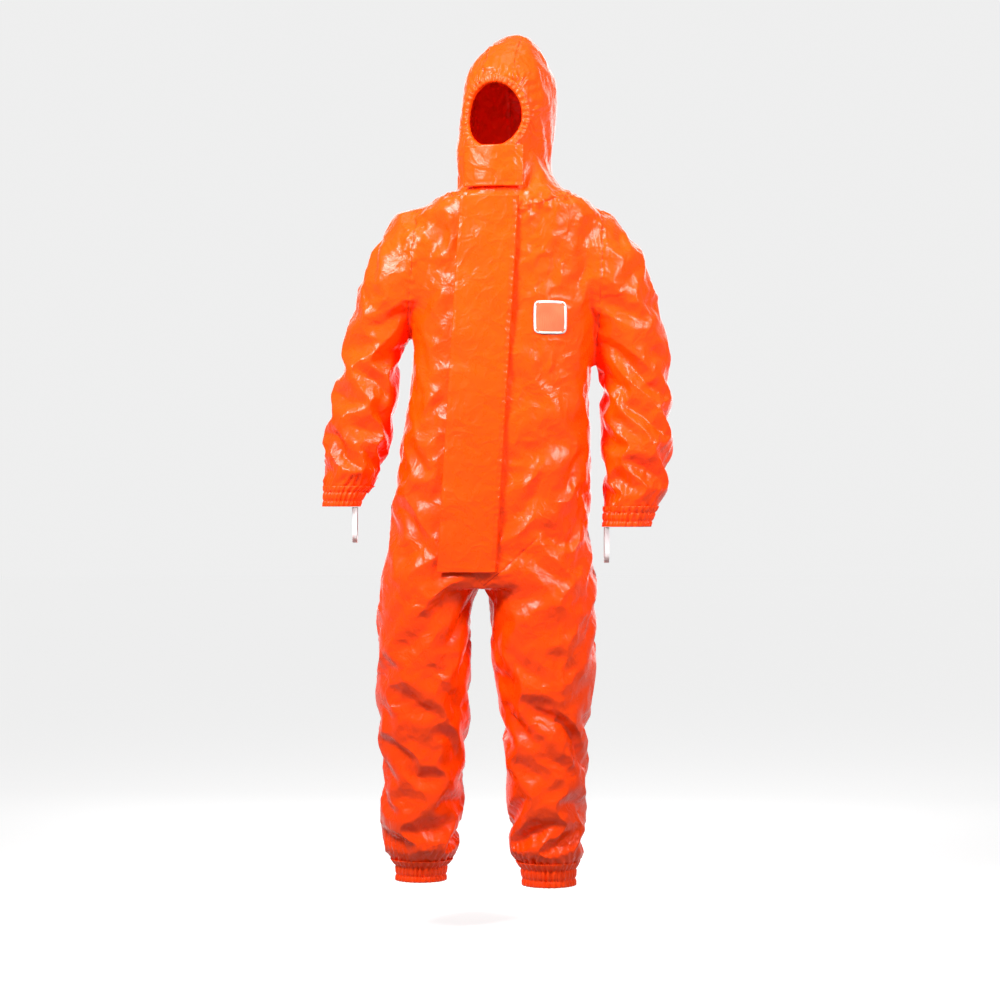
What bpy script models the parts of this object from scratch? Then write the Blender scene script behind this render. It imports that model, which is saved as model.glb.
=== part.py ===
"""Chemical protective suit: a hooded one-piece coverall of coated film, worn by a standing wearer.

Metres, +Z up. The wearer faces -Y, and +X is the wearer's left. The origin is the middle of the neck
base, where the suit rests on the wearer's shoulders. The wearer leans a little, so the middle of the
torso at height z is at x = LEAN * z. The suit's outer surface is one rounded body, hollowed to a thin
wall and cut along the seams into panels.
"""

import math

import bmesh
import bpy
from mathutils import Matrix, Vector

# Driving dimensions
LEAN = 0.0615            # sideways lean of the torso, x per z
WALL = 0.0012            # thickness of a fabric panel
SEAM = 0.0004            # half of the gap between two panels
RING_POINTS = 28         # points around each cross-section
VOXEL = 0.007            # size of the grid that joins the tubes into one body
BODY_FACES = 1700        # triangles of the joined outer surface
REACH = 0.6              # a length past the suit in every direction

# Heights
HOOD_TOP = 0.346
HOOD_SEAM = 0.035
SHOULDER_Z = -0.130
ELBOW_Z = -0.405
ELBOW_HALF = 0.055
HIP_Z = -0.770
THIGH_TOP = -0.930
KNEE_Z = -1.085
KNEE_TOP = -1.020
KNEE_BOTTOM = -1.160
HEM_TOP = -1.378
HEM_BOTTOM = {"R": -1.420, "L": -1.425}
CUFF_TOP = {"R": -0.600, "L": -0.642}
CUFF_BOTTOM = {"R": -0.640, "L": -0.682}
WAIST_Z = -0.600

# Zip and storm flap, across the front
ZIP_X = -0.009           # zip line, from the torso's middle
ZIP_Y = -0.1350          # front face of the zip tape
ZIP_TOP = -0.030
ZIP_BOTTOM = -0.765
ZIP_HALF_WIDTH = 0.012
TAPE_THICKNESS = 0.0007
TEETH_HALF_WIDTH = 0.0022
TEETH_THICKNESS = 0.0022
SLIDER_LENGTH = 0.014
SLIDER_HALF_WIDTH = 0.0045
SLIDER_THICKNESS = 0.0032
PULL_LENGTH = 0.026
PULL_HALF_WIDTH = 0.0035
PULL_THICKNESS = 0.0010
INNER_FLAP_BEHIND = 0.0062       # inner flap, behind the tape's face
FLAP_SEWN_X = 0.016      # sewn edge of the storm flap, from the torso's middle
FLAP_WIDTH = 0.120
FLAP_TOP = -0.004
FLAP_BOTTOM = -0.773
FLAP_Y = -0.1460         # outer face of the flap at its sewn edge
FLAP_SAG = 0.013         # how far the free edge curves back towards the chest

# Hood
HOOD_TURN = math.radians(-14.0)      # the hood is turned towards the wearer's right
HOOD_CENTRE = Vector((-0.004, 0.0, 0.0))
HOOD_STRIP_HALF = 0.032
FACE_CENTRE = (-0.006, 0.164)        # middle of the face opening, in the turned hood
FACE_HALF = (0.056, 0.067)
FACE_HEM = 0.016
CHIN_FLAP_X = (-0.064, 0.060)        # in the turned hood
CHIN_FLAP_Z = (0.016, 0.100)
CHIN_FLAP_CREST = (-0.010, -0.1375)  # its foremost line
CHIN_FLAP_CURVE = 4.2                # how fast it curves back from there, per metre

# Thumb loops: top middle of each loop, and its size
LOOP_TOP = {"R": (-0.324, -0.016, -0.6430), "L": (0.199, -0.016, -0.6850)}
LOOP_HALF_GAP = 0.021
LOOP_DROP = 0.070
LOOP_BAND = 0.0100
LOOP_THICKNESS = 0.0012

# Cross-sections of the body: height, middle x, half width, front y, back y
TORSO = [
    (0.060, 0.000, 0.080, -0.105, 0.090),
    (0.020, 0.000, 0.105, -0.126, 0.100),
    (-0.004, 0.000, 0.158, -0.132, 0.108),
    (-0.030, -0.002, 0.190, -0.135, 0.118),
    (-0.070, -0.004, 0.198, -0.135, 0.126),
    (-0.150, -0.009, 0.197, -0.135, 0.134),
    (-0.300, -0.017, 0.187, -0.135, 0.134),
    (-0.400, -0.023, 0.187, -0.135, 0.128),
    (-0.490, -0.030, 0.196, -0.135, 0.126),
    (-0.600, -0.037, 0.204, -0.135, 0.130),
    (-0.700, -0.043, 0.206, -0.135, 0.140),
    (-0.770, -0.047, 0.220, -0.136, 0.144),
    (-0.808, -0.052, 0.222, -0.126, 0.134),
]
HOOD = [
    (-0.020, -0.002, 0.096, -0.126, 0.114),
    (0.035, -0.004, 0.094, -0.134, 0.126),
    (0.100, -0.010, 0.093, -0.134, 0.138),
    (0.160, -0.004, 0.094, -0.124, 0.148),
    (0.210, -0.002, 0.094, -0.114, 0.148),
    (0.255, 0.000, 0.088, -0.100, 0.134),
    (0.292, 0.003, 0.070, -0.076, 0.108),
    (0.320, 0.008, 0.048, -0.046, 0.076),
    (0.338, 0.011, 0.026, -0.018, 0.046),
    (HOOD_TOP, 0.012, 0.008, 0.000, 0.024),
]
# Sleeves: middle x, y, z, half width across the sleeve, half depth front to back
SLEEVES = {
    "R": [
        (-0.100, 0.006, -0.100, 0.098, 0.100),
        (-0.176, 0.008, -0.128, 0.118, 0.104),
        (-0.220, 0.010, -0.172, 0.092, 0.100),
        (-0.255, 0.013, -0.215, 0.070, 0.090),
        (-0.272, 0.015, -0.260, 0.064, 0.082),
        (-0.288, 0.018, -0.316, 0.061, 0.078),
        (-0.299, 0.020, -0.390, 0.066, 0.080),
        (-0.314, 0.012, -0.488, 0.067, 0.076),
        (-0.331, 0.000, -0.560, 0.060, 0.068),
        (-0.345, -0.010, -0.605, 0.044, 0.050),
        (-0.353, -0.014, -0.640, 0.037, 0.042),
        (-0.358, -0.016, -0.665, 0.036, 0.040),
    ],
    "L": [
        (0.080, 0.006, -0.100, 0.098, 0.100),
        (0.145, 0.008, -0.125, 0.116, 0.104),
        (0.195, 0.010, -0.170, 0.100, 0.100),
        (0.228, 0.012, -0.225, 0.080, 0.090),
        (0.246, 0.015, -0.285, 0.077, 0.084),
        (0.257, 0.018, -0.345, 0.074, 0.081),
        (0.260, 0.020, -0.400, 0.075, 0.082),
        (0.261, 0.010, -0.500, 0.075, 0.080),
        (0.257, -0.002, -0.580, 0.069, 0.072),
        (0.249, -0.012, -0.636, 0.056, 0.056),
        (0.240, -0.016, -0.682, 0.048, 0.046),
        (0.236, -0.018, -0.705, 0.046, 0.044),
    ],
}
# Legs: height, middle x, half width, front y, back y
LEGS = {
    "R": [
        (-0.720, -0.150, 0.100, -0.122, 0.126),
        (-0.800, -0.170, 0.101, -0.128, 0.130),
        (-0.860, -0.179, 0.098, -0.124, 0.122),
        (-1.000, -0.180, 0.097, -0.112, 0.112),
        (-1.100, -0.181, 0.094, -0.098, 0.108),
        (-1.200, -0.182, 0.084, -0.082, 0.110),
        (-1.300, -0.187, 0.081, -0.072, 0.110),
        (-1.350, -0.184, 0.070, -0.056, 0.096),
        (-1.390, -0.187, 0.052, -0.036, 0.078),
        (-1.445, -0.189, 0.050, -0.034, 0.076),
    ],
    "L": [
        (-0.720, 0.056, 0.106, -0.124, 0.126),
        (-0.800, 0.063, 0.112, -0.132, 0.128),
        (-0.860, 0.066, 0.112, -0.134, 0.120),
        (-0.950, 0.067, 0.109, -0.130, 0.110),
        (-1.100, 0.072, 0.090, -0.122, 0.086),
        (-1.200, 0.075, 0.081, -0.114, 0.078),
        (-1.300, 0.073, 0.078, -0.106, 0.076),
        (-1.350, 0.075, 0.072, -0.098, 0.064),
        (-1.390, 0.078, 0.056, -0.084, 0.040),
        (-1.445, 0.080, 0.052, -0.080, 0.036),
    ],
}
SECTION_POWER = {"torso": 2.5, "hood": 2.2, "limb": 2.1}

# Seam lines in the X-Z plane, from the top down, on the wearer's right and left
NECK_LINE = [(-0.130, 0.035), (-0.122, 0.004), (-0.055, -0.022), (0.0, -0.030),
             (0.055, -0.022), (0.122, 0.004), (0.130, 0.035)]
ARMHOLE = {
    "R": [(-0.190, 0.060), (-0.203, -0.100), (-0.215, -0.300)],
    "L": [(0.184, 0.060), (0.190, -0.100), (0.178, -0.310)],
}
ARM_SIDE = {
    "R": [(-0.221, -0.390), (-0.236, -0.490), (-0.264, -0.600), (-0.300, -0.668)],
    "L": [(0.176, -0.390), (0.176, -0.490), (0.178, -0.600), (0.180, -0.668)],
}
CROTCH = (-0.056, -0.800)
LEG_LINE = {"R": (-0.150, -0.705), "L": (0.052, -0.705)}
GUSSET_HALF = 0.030
GUSSET_BOTTOM = -0.835
SLEEVE_END_OUT = {"R": (-0.42, -0.180), "L": (0.42, -0.180)}


def torso_x(offset, z):
    """x of a point that lies offset from the torso's middle at height z."""
    return offset + LEAN * z


def linked(name, mesh):
    """An object in the scene with this mesh."""
    item = bpy.data.objects.new(name, mesh)
    bpy.context.scene.collection.objects.link(item)
    return item


def mesh_of(name, verts, faces):
    """A mesh with outward faces."""
    mesh = bpy.data.meshes.new(name)
    mesh.from_pydata([tuple(v) for v in verts], [], faces)
    work = bmesh.new()
    work.from_mesh(mesh)
    bmesh.ops.recalc_face_normals(work, faces=work.faces)
    work.to_mesh(mesh)
    work.free()
    return mesh


def applied(item):
    """Replaces an object's mesh by its evaluated one and removes the modifiers."""
    graph = bpy.context.evaluated_depsgraph_get()
    mesh = bpy.data.meshes.new_from_object(item.evaluated_get(graph))
    item.modifiers.clear()
    item.data = mesh
    return item


def helper(item):
    """Marks an object as a tool of the modelling, not a piece of the suit."""
    item.hide_render = True
    item.display_type = "WIRE"
    return item


def superellipse(centre, side, depth, half_side, front, back, power):
    """A ring of points around centre: half_side along side, and front and back along depth."""
    ring = []
    for k in range(RING_POINTS):
        angle = 2.0 * math.pi * k / RING_POINTS
        c, s = math.cos(angle), math.sin(angle)
        u = math.copysign(abs(c) ** (2.0 / power), c) * half_side
        v = math.copysign(abs(s) ** (2.0 / power), s) * (back if s > 0.0 else front)
        ring.append(centre + side * u + depth * v)
    return ring


def level_ring(z, x, half_width, front_y, back_y, power):
    """A horizontal cross-section."""
    middle_y = 0.5 * (front_y + back_y)
    return superellipse(Vector((x, middle_y, z)), Vector((1, 0, 0)), Vector((0, 1, 0)),
                        half_width, middle_y - front_y, back_y - middle_y, power)


def loft(name, rings):
    """A closed tube through rings that have the same number of points."""
    count = len(rings[0])
    verts = [v for ring in rings for v in ring]
    faces = [tuple(range(count)), tuple(range(len(verts) - count, len(verts)))]
    for r in range(len(rings) - 1):
        for k in range(count):
            following = (k + 1) % count
            faces.append((r * count + k, r * count + following,
                          (r + 1) * count + following, (r + 1) * count + k))
    return mesh_of(name, verts, faces)


def sleeve_rings(stations):
    """Rings square to the sleeve's path."""
    rings = []
    for i, (x, y, z, half_width, half_depth) in enumerate(stations):
        ahead = Vector(stations[min(i + 1, len(stations) - 1)][:3])
        behind = Vector(stations[max(i - 1, 0)][:3])
        path = (ahead - behind).normalized()
        depth = (Vector((0, 1, 0)) - path * path.y).normalized()
        side = depth.cross(path)
        rings.append(superellipse(Vector((x, y, z)), side, depth, half_width,
                                  half_depth, half_depth, SECTION_POWER["limb"]))
    return rings


def hood_frame():
    """World matrix of the turned hood."""
    return Matrix.Translation(HOOD_CENTRE) @ Matrix.Rotation(HOOD_TURN, 4, "Z")


def outer_body():
    """The suit's outer surface: torso, hood, sleeves and legs joined into one rounded body."""
    parts = [loft("torso_form", [level_ring(*row, SECTION_POWER["torso"]) for row in TORSO])]
    hood = loft("hood_form", [level_ring(*row, SECTION_POWER["hood"]) for row in HOOD])
    hood.transform(hood_frame())
    parts.append(hood)
    for side in ("R", "L"):
        parts.append(loft("sleeve_form", sleeve_rings(SLEEVES[side])))
        parts.append(loft("leg_form",
                          [level_ring(*row, SECTION_POWER["limb"]) for row in LEGS[side]]))
    work = bmesh.new()
    for mesh in parts:
        work.from_mesh(mesh)
    mesh = bpy.data.meshes.new("body_form")
    work.to_mesh(mesh)
    work.free()
    body = helper(linked("body_form", mesh))
    join = body.modifiers.new("join", "REMESH")
    join.mode = "VOXEL"
    join.voxel_size = VOXEL
    ease = body.modifiers.new("ease", "SMOOTH")
    ease.factor = 0.5
    ease.iterations = 8
    applied(body)
    body.data.validate()
    thin = body.modifiers.new("thin", "DECIMATE")
    thin.ratio = BODY_FACES / (2.0 * len(body.data.polygons))
    return applied(body)


def wall(name, body, outside, thickness):
    """A closed skin whose outer face lies outside from the body's surface."""
    mesh = body.data.copy()
    mesh.name = name
    work = bmesh.new()
    work.from_mesh(mesh)
    work.normal_update()
    moves = [v.normal * outside for v in work.verts]
    for v, move in zip(work.verts, moves):
        v.co += move
    work.to_mesh(mesh)
    work.free()
    item = helper(linked(name, mesh))
    skin = item.modifiers.new("skin", "SOLIDIFY")
    skin.thickness = thickness
    skin.offset = -1.0
    skin.use_even_offset = False
    return applied(item)


def inset(outline, gap):
    """The outline moved inwards by gap along every edge."""
    area = sum(a[0] * b[1] - b[0] * a[1] for a, b in zip(outline, outline[1:] + outline[:1]))
    turn = 1.0 if area > 0 else -1.0
    moved = []
    for k, here in enumerate(outline):
        before = Vector(here) - Vector(outline[k - 1])
        after = Vector(outline[(k + 1) % len(outline)]) - Vector(here)
        in_a = Vector((-before.y, before.x)).normalized() * turn
        in_b = Vector((-after.y, after.x)).normalized() * turn
        bisector = (in_a + in_b).normalized()
        moved.append(Vector(here) + bisector * (gap / max(bisector.dot(in_a), 0.3)))
    return moved


def prism(outline, low, high, plane="XZ", frame=None):
    """A cutter: an outline in the XZ or YZ plane, inset by the seam and extruded along the third axis."""
    points = inset(outline, SEAM)
    verts = []
    for level in (low, high):
        for p in points:
            place = Vector((p.x, level, p.y)) if plane == "XZ" else Vector((level, p.x, p.y))
            verts.append(frame @ place if frame else place)
    n = len(points)
    faces = [tuple(range(n)), tuple(range(2 * n - 1, n - 1, -1))]
    faces += [(k, (k + 1) % n, (k + 1) % n + n, k + n) for k in range(n)]
    return helper(linked("cutter", mesh_of("cutter", verts, faces)))


def oval_bar(half, grow, y_low, y_high):
    """A cutter along the turned hood's Y: the oval of the face opening, grown on all sides."""
    verts = []
    count = 32
    for y in (y_low, y_high):
        for k in range(count):
            angle = 2.0 * math.pi * k / count
            verts.append(hood_frame() @ Vector((FACE_CENTRE[0] + (half[0] + grow) * math.cos(angle),
                                                y,
                                                FACE_CENTRE[1] + (half[1] + grow) * math.sin(angle))))
    faces = [tuple(range(count)), tuple(range(2 * count - 1, count - 1, -1))]
    faces += [(k, (k + 1) % count, (k + 1) % count + count, k + count) for k in range(count)]
    return helper(linked("cutter", mesh_of("cutter", verts, faces)))


def cut(item, operation, cutter):
    """Adds one exact Boolean and applies it."""
    step = item.modifiers.new("cut", "BOOLEAN")
    step.operation = operation
    step.solver = "EXACT"
    step.object = cutter
    applied(item)
    return item


def tidy(item):
    """Merges the points that a cut leaves on top of each other and keeps the largest closed body."""
    work = bmesh.new()
    work.from_mesh(item.data)
    bmesh.ops.remove_doubles(work, verts=work.verts, dist=0.00002)
    bmesh.ops.dissolve_degenerate(work, edges=work.edges, dist=0.00002)
    bmesh.ops.dissolve_limit(work, angle_limit=math.radians(0.6), verts=work.verts, edges=work.edges)
    bmesh.ops.triangulate(work, faces=work.faces)
    seen, groups = set(), []
    for start in work.verts:
        if start in seen:
            continue
        seen.add(start)
        stack, group = [start], [start]
        while stack:
            for edge in stack.pop().link_edges:
                for v in edge.verts:
                    if v not in seen:
                        seen.add(v)
                        stack.append(v)
                        group.append(v)
        groups.append(group)
    groups.sort(key=len)
    for group in groups[:-1]:
        bmesh.ops.delete(work, geom=group, context="VERTS")
    work.to_mesh(item.data)
    work.free()


def material(name, colour, roughness, metallic=0.0):
    """A plain Principled material."""
    result = bpy.data.materials.new(name)
    result.use_nodes = True
    shader = result.node_tree.nodes["Principled BSDF"]
    shader.inputs["Base Color"].default_value = (*colour, 1.0)
    shader.inputs["Roughness"].default_value = roughness
    shader.inputs["Metallic"].default_value = metallic
    return result


def piece(name, skin, cutters, look, away=()):
    """A named piece of the suit: the skin inside each cutter and outside each one in away."""
    item = linked(name, skin.data.copy())
    for cutter in cutters:
        cut(item, "INTERSECT", cutter)
    for cutter in away:
        cut(item, "DIFFERENCE", cutter)
    tidy(item)
    item.data.materials.clear()
    item.data.materials.append(look)
    return item


def set_origin(item, point):
    """Moves an object's origin to point, without moving its shape."""
    item.data.transform(Matrix.Translation(-Vector(point)))
    item.location = point


def solid(name, verts, faces, look):
    """A named piece made from points and faces."""
    item = linked(name, mesh_of(name, verts, faces))
    item.data.materials.append(look)
    return item


def bent_strip(name, across, along, thickness, look, frame=None):
    """A closed strip: across lists (x, y) of its outer face from edge to edge, along lists (z, x shift)."""
    verts = []
    for z, shift in along:
        for x, y in across:
            verts.append(Vector((x + shift, y, z)))
        for x, y in reversed(across):
            verts.append(Vector((x + shift, y + thickness, z)))
    if frame:
        verts = [frame @ v for v in verts]
    count = 2 * len(across)
    faces = []
    for r in range(len(along) - 1):
        for k in range(count):
            following = (k + 1) % count
            faces.append((r * count + k, r * count + following,
                          (r + 1) * count + following, (r + 1) * count + k))
    for start in (0, (len(along) - 1) * count):
        for k in range(len(across) - 1):
            faces.append((start + k, start + k + 1, start + count - 2 - k, start + count - 1 - k))
    return solid(name, verts, faces, look)


def box_on_zip(name, x_low, x_high, z_low, z_high, front, thickness, look):
    """A flat bar along the zip line, front metres before the tape's face and thickness deep."""
    face_y = ZIP_Y - front
    along = [(z, torso_x(ZIP_X, z)) for z in (z_high, z_low)]
    return bent_strip(name, [(x_low, face_y), (x_high, face_y)], along, thickness, look)


def leg_line_z(side, x):
    """Height of the line between the torso and the leg at x."""
    start_x, start_z = LEG_LINE[side]
    return start_z + (CROTCH[1] - start_z) * (x - start_x) / (CROTCH[0] - start_x)


def torso_outline(side):
    """Outline of half the torso, from the middle of the neck round the armhole to the crotch."""
    sign = -1.0 if side == "R" else 1.0
    neck = [p for p in NECK_LINE if p[0] * sign >= 0.0]
    neck.sort(key=lambda p: abs(p[0]))
    hip = ARM_SIDE[side][-1]
    return neck + ARMHOLE[side] + ARM_SIDE[side][:-1] + [hip, LEG_LINE[side], CROTCH]


def front_outline(side):
    """The torso half without the strip that the zip takes."""
    sign = -1.0 if side == "R" else 1.0
    edge = ZIP_X + sign * (ZIP_HALF_WIDTH + 0.0003)
    outline = torso_outline(side)[1:-1]
    low_x = torso_x(edge, CROTCH[1])
    return [(torso_x(edge, NECK_LINE[3][1]), NECK_LINE[3][1])] + outline + [(low_x, leg_line_z(side, low_x))]


def sleeve_line(side):
    """Where the shoulder section ends and the upper sleeve starts."""
    return [ARMHOLE[side][-1], SLEEVE_END_OUT[side]]


def arm_outline(side, top, bottom):
    """A stretch of the sleeve between two heights."""
    sign = -1.0 if side == "R" else 1.0
    line = [ARMHOLE[side][-1]] + ARM_SIDE[side]

    def inner_x(z):
        for (x0, z0), (x1, z1) in zip(line, line[1:]):
            if z1 <= z <= z0:
                return x0 + (x1 - x0) * (z - z0) / (z1 - z0)
        return line[-1][0]

    between = [p for p in line if bottom < p[1] < top]
    inner = [(inner_x(top), top)] + between + [(inner_x(bottom), bottom)]
    return inner + [(sign * REACH, bottom), (sign * REACH, top)]


def build_torso(skin, inner, looks):
    """Front and back panels, neck section, gusset and the elastic at the back of the waist."""
    front = (-REACH, 0.010 - SEAM)
    back = (0.010 + SEAM, REACH)
    for side, name in (("R", "front_panel_right"), ("L", "front_panel_left")):
        piece(name, skin, [prism(front_outline(side), *front)], looks["film"])
        piece(name.replace("front", "back"), skin, [prism(torso_outline(side), *back)], looks["film"])
    piece("neck_section", skin, [prism(NECK_LINE, -REACH, REACH)], looks["film"])
    band = [(-REACH, WAIST_Z + 0.012), (-REACH, WAIST_Z - 0.012),
            (ARM_SIDE["L"][2][0], WAIST_Z - 0.012), (ARM_SIDE["L"][2][0], WAIST_Z + 0.012)]
    side_x = ARM_SIDE["R"][2][0] + 0.008
    band = [(max(x, side_x), z) for x, z in band]
    piece("waist_elastic", inner, [prism(band, 0.020, REACH)], looks["elastic"])
    right_x, left_x = CROTCH[0] - GUSSET_HALF, CROTCH[0] + GUSSET_HALF
    gusset = [(right_x, GUSSET_BOTTOM), (left_x, GUSSET_BOTTOM), (left_x, leg_line_z("L", left_x)),
              CROTCH, (right_x, leg_line_z("R", right_x))]
    piece("crotch_gusset", skin, [prism(gusset, -REACH, REACH)], looks["film"])


def build_zip(looks):
    """Tapes, teeth, stops, inner flap, slider and pull, all straight along the zip line."""
    clear = 0.0003
    for side, sign in (("left", 1.0), ("right", -1.0)):
        near = TEETH_HALF_WIDTH + clear
        x_low, x_high = sorted((sign * near, sign * (ZIP_HALF_WIDTH - clear)))
        box_on_zip("zip_tape_" + side, x_low, x_high, ZIP_BOTTOM, ZIP_TOP, 0.0, TAPE_THICKNESS,
                   looks["tape"])
    stop = 0.006
    box_on_zip("zip_teeth", -TEETH_HALF_WIDTH, TEETH_HALF_WIDTH, ZIP_BOTTOM + stop + clear,
               ZIP_TOP - stop - clear, 0.0012, TEETH_THICKNESS, looks["teeth"])
    box_on_zip("zip_top_stop", -TEETH_HALF_WIDTH, TEETH_HALF_WIDTH, ZIP_TOP - stop, ZIP_TOP, 0.0012,
               TEETH_THICKNESS, looks["teeth"])
    box_on_zip("zip_bottom_stop", -TEETH_HALF_WIDTH, TEETH_HALF_WIDTH, ZIP_BOTTOM, ZIP_BOTTOM + stop,
               0.0012, TEETH_THICKNESS, looks["teeth"])
    box_on_zip("inner_zip_flap", -0.030, 0.022, ZIP_BOTTOM + 0.004, ZIP_TOP - 0.008, -INNER_FLAP_BEHIND,
               WALL, looks["film"])
    slider_top = ZIP_TOP - stop - 0.002
    front = 0.0012 + clear + SLIDER_THICKNESS
    slider = box_on_zip("zip_slider", -SLIDER_HALF_WIDTH, SLIDER_HALF_WIDTH,
                        slider_top - SLIDER_LENGTH, slider_top, front, SLIDER_THICKNESS,
                        looks["teeth"])
    middle_z = slider_top - 0.5 * SLIDER_LENGTH
    set_origin(slider, (torso_x(ZIP_X, middle_z), ZIP_Y - front, middle_z))
    soften(slider, 0.0010)
    pull_front = front + clear + PULL_THICKNESS
    pull = box_on_zip("zip_pull", -PULL_HALF_WIDTH, PULL_HALF_WIDTH, middle_z - PULL_LENGTH,
                      middle_z, pull_front, PULL_THICKNESS, looks["teeth"])
    set_origin(pull, (torso_x(ZIP_X, middle_z), ZIP_Y - pull_front, middle_z))


def soften(item, width):
    """Rounds a block's edges."""
    edge = item.modifiers.new("round", "BEVEL")
    edge.width = width
    edge.segments = 2


def flap_profile(sewn_x, width, outer_y, sag, steps=8):
    """Outer face of a flap, from its free edge to its sewn edge, curving back at the free edge."""
    return [(sewn_x - width * (1.0 - k / steps), outer_y + sag * (1.0 - k / steps) ** 2)
            for k in range(steps + 1)]


def build_storm_flap(looks):
    """The wide flap over the zip, hinged at its sewn edge, and its adhesive strip."""
    heights = [FLAP_TOP + (FLAP_BOTTOM - FLAP_TOP) * k / 6 for k in range(7)]
    along = [(z, LEAN * z) for z in heights]
    profile = flap_profile(FLAP_SEWN_X, FLAP_WIDTH, FLAP_Y, FLAP_SAG)
    flap = bent_strip("storm_flap", profile, along, WALL, looks["film"])
    hinge = (torso_x(FLAP_SEWN_X, FLAP_TOP), FLAP_Y, FLAP_TOP)
    set_origin(flap, hinge)
    under = WALL + 0.0003
    strip = [(x, y + under) for x, y in profile[:3]]
    strip[0] = (strip[0][0] + 0.004, strip[0][1])
    tape = bent_strip("storm_flap_adhesive", strip, [(z, s) for z, s in along], 0.0005, looks["liner"])
    set_origin(tape, hinge)


def build_hood(skin, inner, looks):
    """Three panels, the face hem with its elastic, and the chin flap."""
    frame = hood_frame()
    strip = [(-REACH, HOOD_TOP + 0.05), (-REACH, FACE_CENTRE[1]), (0.0, FACE_CENTRE[1]),
             (0.0, HOOD_SEAM), (REACH, HOOD_SEAM), (REACH, HOOD_TOP + 0.05)]
    middle = prism(strip, -HOOD_STRIP_HALF, HOOD_STRIP_HALF, "YZ", frame)
    keep_off = prism([(y, z) for y, z in inset(strip, -4.0 * SEAM)], -HOOD_STRIP_HALF - 2.0 * SEAM,
                     HOOD_STRIP_HALF + 2.0 * SEAM, "YZ", frame)
    face = oval_bar(FACE_HALF, FACE_HEM, -REACH, 0.0)
    piece("hood_centre", skin, [middle], looks["film"], [face])
    for name, low, high in (("hood_side_right", -REACH, -SEAM), ("hood_side_left", SEAM, REACH)):
        half = [(low, HOOD_TOP + 0.05), (low, HOOD_SEAM), (high, HOOD_SEAM), (high, HOOD_TOP + 0.05)]
        piece(name, skin, [prism(half, -REACH, REACH, "XZ", frame)], looks["film"], [keep_off, face])
    hem_outer = oval_bar(FACE_HALF, FACE_HEM - 2.0 * SEAM, -REACH, 0.0)
    hem_inner = oval_bar(FACE_HALF, 0.0, -REACH, 0.01)
    piece("face_hem", skin, [hem_outer], looks["film"], [hem_inner])
    elastic_outer = oval_bar(FACE_HALF, 0.010, -REACH, 0.0)
    elastic_inner = oval_bar(FACE_HALF, 0.003, -REACH, 0.01)
    piece("face_elastic", inner, [elastic_outer], looks["elastic"], [elastic_inner])
    width = CHIN_FLAP_X[1] - CHIN_FLAP_X[0]
    steps = 8
    profile = []
    for k in range(steps + 1):
        x = CHIN_FLAP_X[0] + width * k / steps
        profile.append((x, CHIN_FLAP_CREST[1] + CHIN_FLAP_CURVE * (x - CHIN_FLAP_CREST[0]) ** 2))
    heights = [CHIN_FLAP_Z[1] + (CHIN_FLAP_Z[0] - CHIN_FLAP_Z[1]) * k / 3 for k in range(4)]
    flap = bent_strip("chin_flap", profile, [(z, 0.0) for z in heights], WALL, looks["film"], frame)
    hinge = frame @ Vector((CHIN_FLAP_X[1], profile[-1][1], CHIN_FLAP_Z[1]))
    set_origin(flap, hinge)
    strip_face = [(x + 0.004, y + WALL + 0.0003) for x, y in profile[:2]]
    strip = bent_strip("chin_flap_adhesive", strip_face, [(z, 0.0) for z in heights], 0.0005,
                       looks["liner"], frame)
    set_origin(strip, hinge)


def build_arm(side, skin, inner, looks):
    """Shoulder section, upper sleeve, elbow section, forearm, cuff, elastic and thumb loop."""
    sign = -1.0 if side == "R" else 1.0
    suffix = "_right" if side == "R" else "_left"
    everywhere = (-REACH, REACH)
    line = sleeve_line(side)
    shoulder = ARMHOLE[side] + [line[1], (line[1][0], ARMHOLE[side][0][1])]
    piece("shoulder_section" + suffix, skin, [prism(shoulder, *everywhere)], looks["film"])
    elbow_top, elbow_bottom = ELBOW_Z + ELBOW_HALF, ELBOW_Z - ELBOW_HALF
    upper = arm_outline(side, line[0][1], elbow_top)
    upper = [line[0]] + upper[1:-1] + [line[1]]
    item = piece("upper_sleeve" + suffix, skin, [prism(upper, *everywhere)], looks["film"])
    set_origin(item, (SLEEVES[side][1][0], SLEEVES[side][1][1], SHOULDER_Z))
    piece("elbow_section" + suffix, skin,
          [prism(arm_outline(side, elbow_top, elbow_bottom), *everywhere)], looks["film"])
    item = piece("forearm_sleeve" + suffix, skin,
                 [prism(arm_outline(side, elbow_bottom, CUFF_TOP[side]), *everywhere)], looks["film"])
    set_origin(item, (SLEEVES[side][5][0], SLEEVES[side][5][1], ELBOW_Z))
    piece("cuff_hem" + suffix, skin,
          [prism(arm_outline(side, CUFF_TOP[side], CUFF_BOTTOM[side]), *everywhere)], looks["film"])
    piece("cuff_elastic" + suffix, inner,
          [prism(arm_outline(side, CUFF_TOP[side] - 0.014, CUFF_BOTTOM[side] + 0.012), *everywhere)],
          looks["elastic"])
    build_thumb_loop("thumb_loop" + suffix, LOOP_TOP[side], looks)


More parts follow.
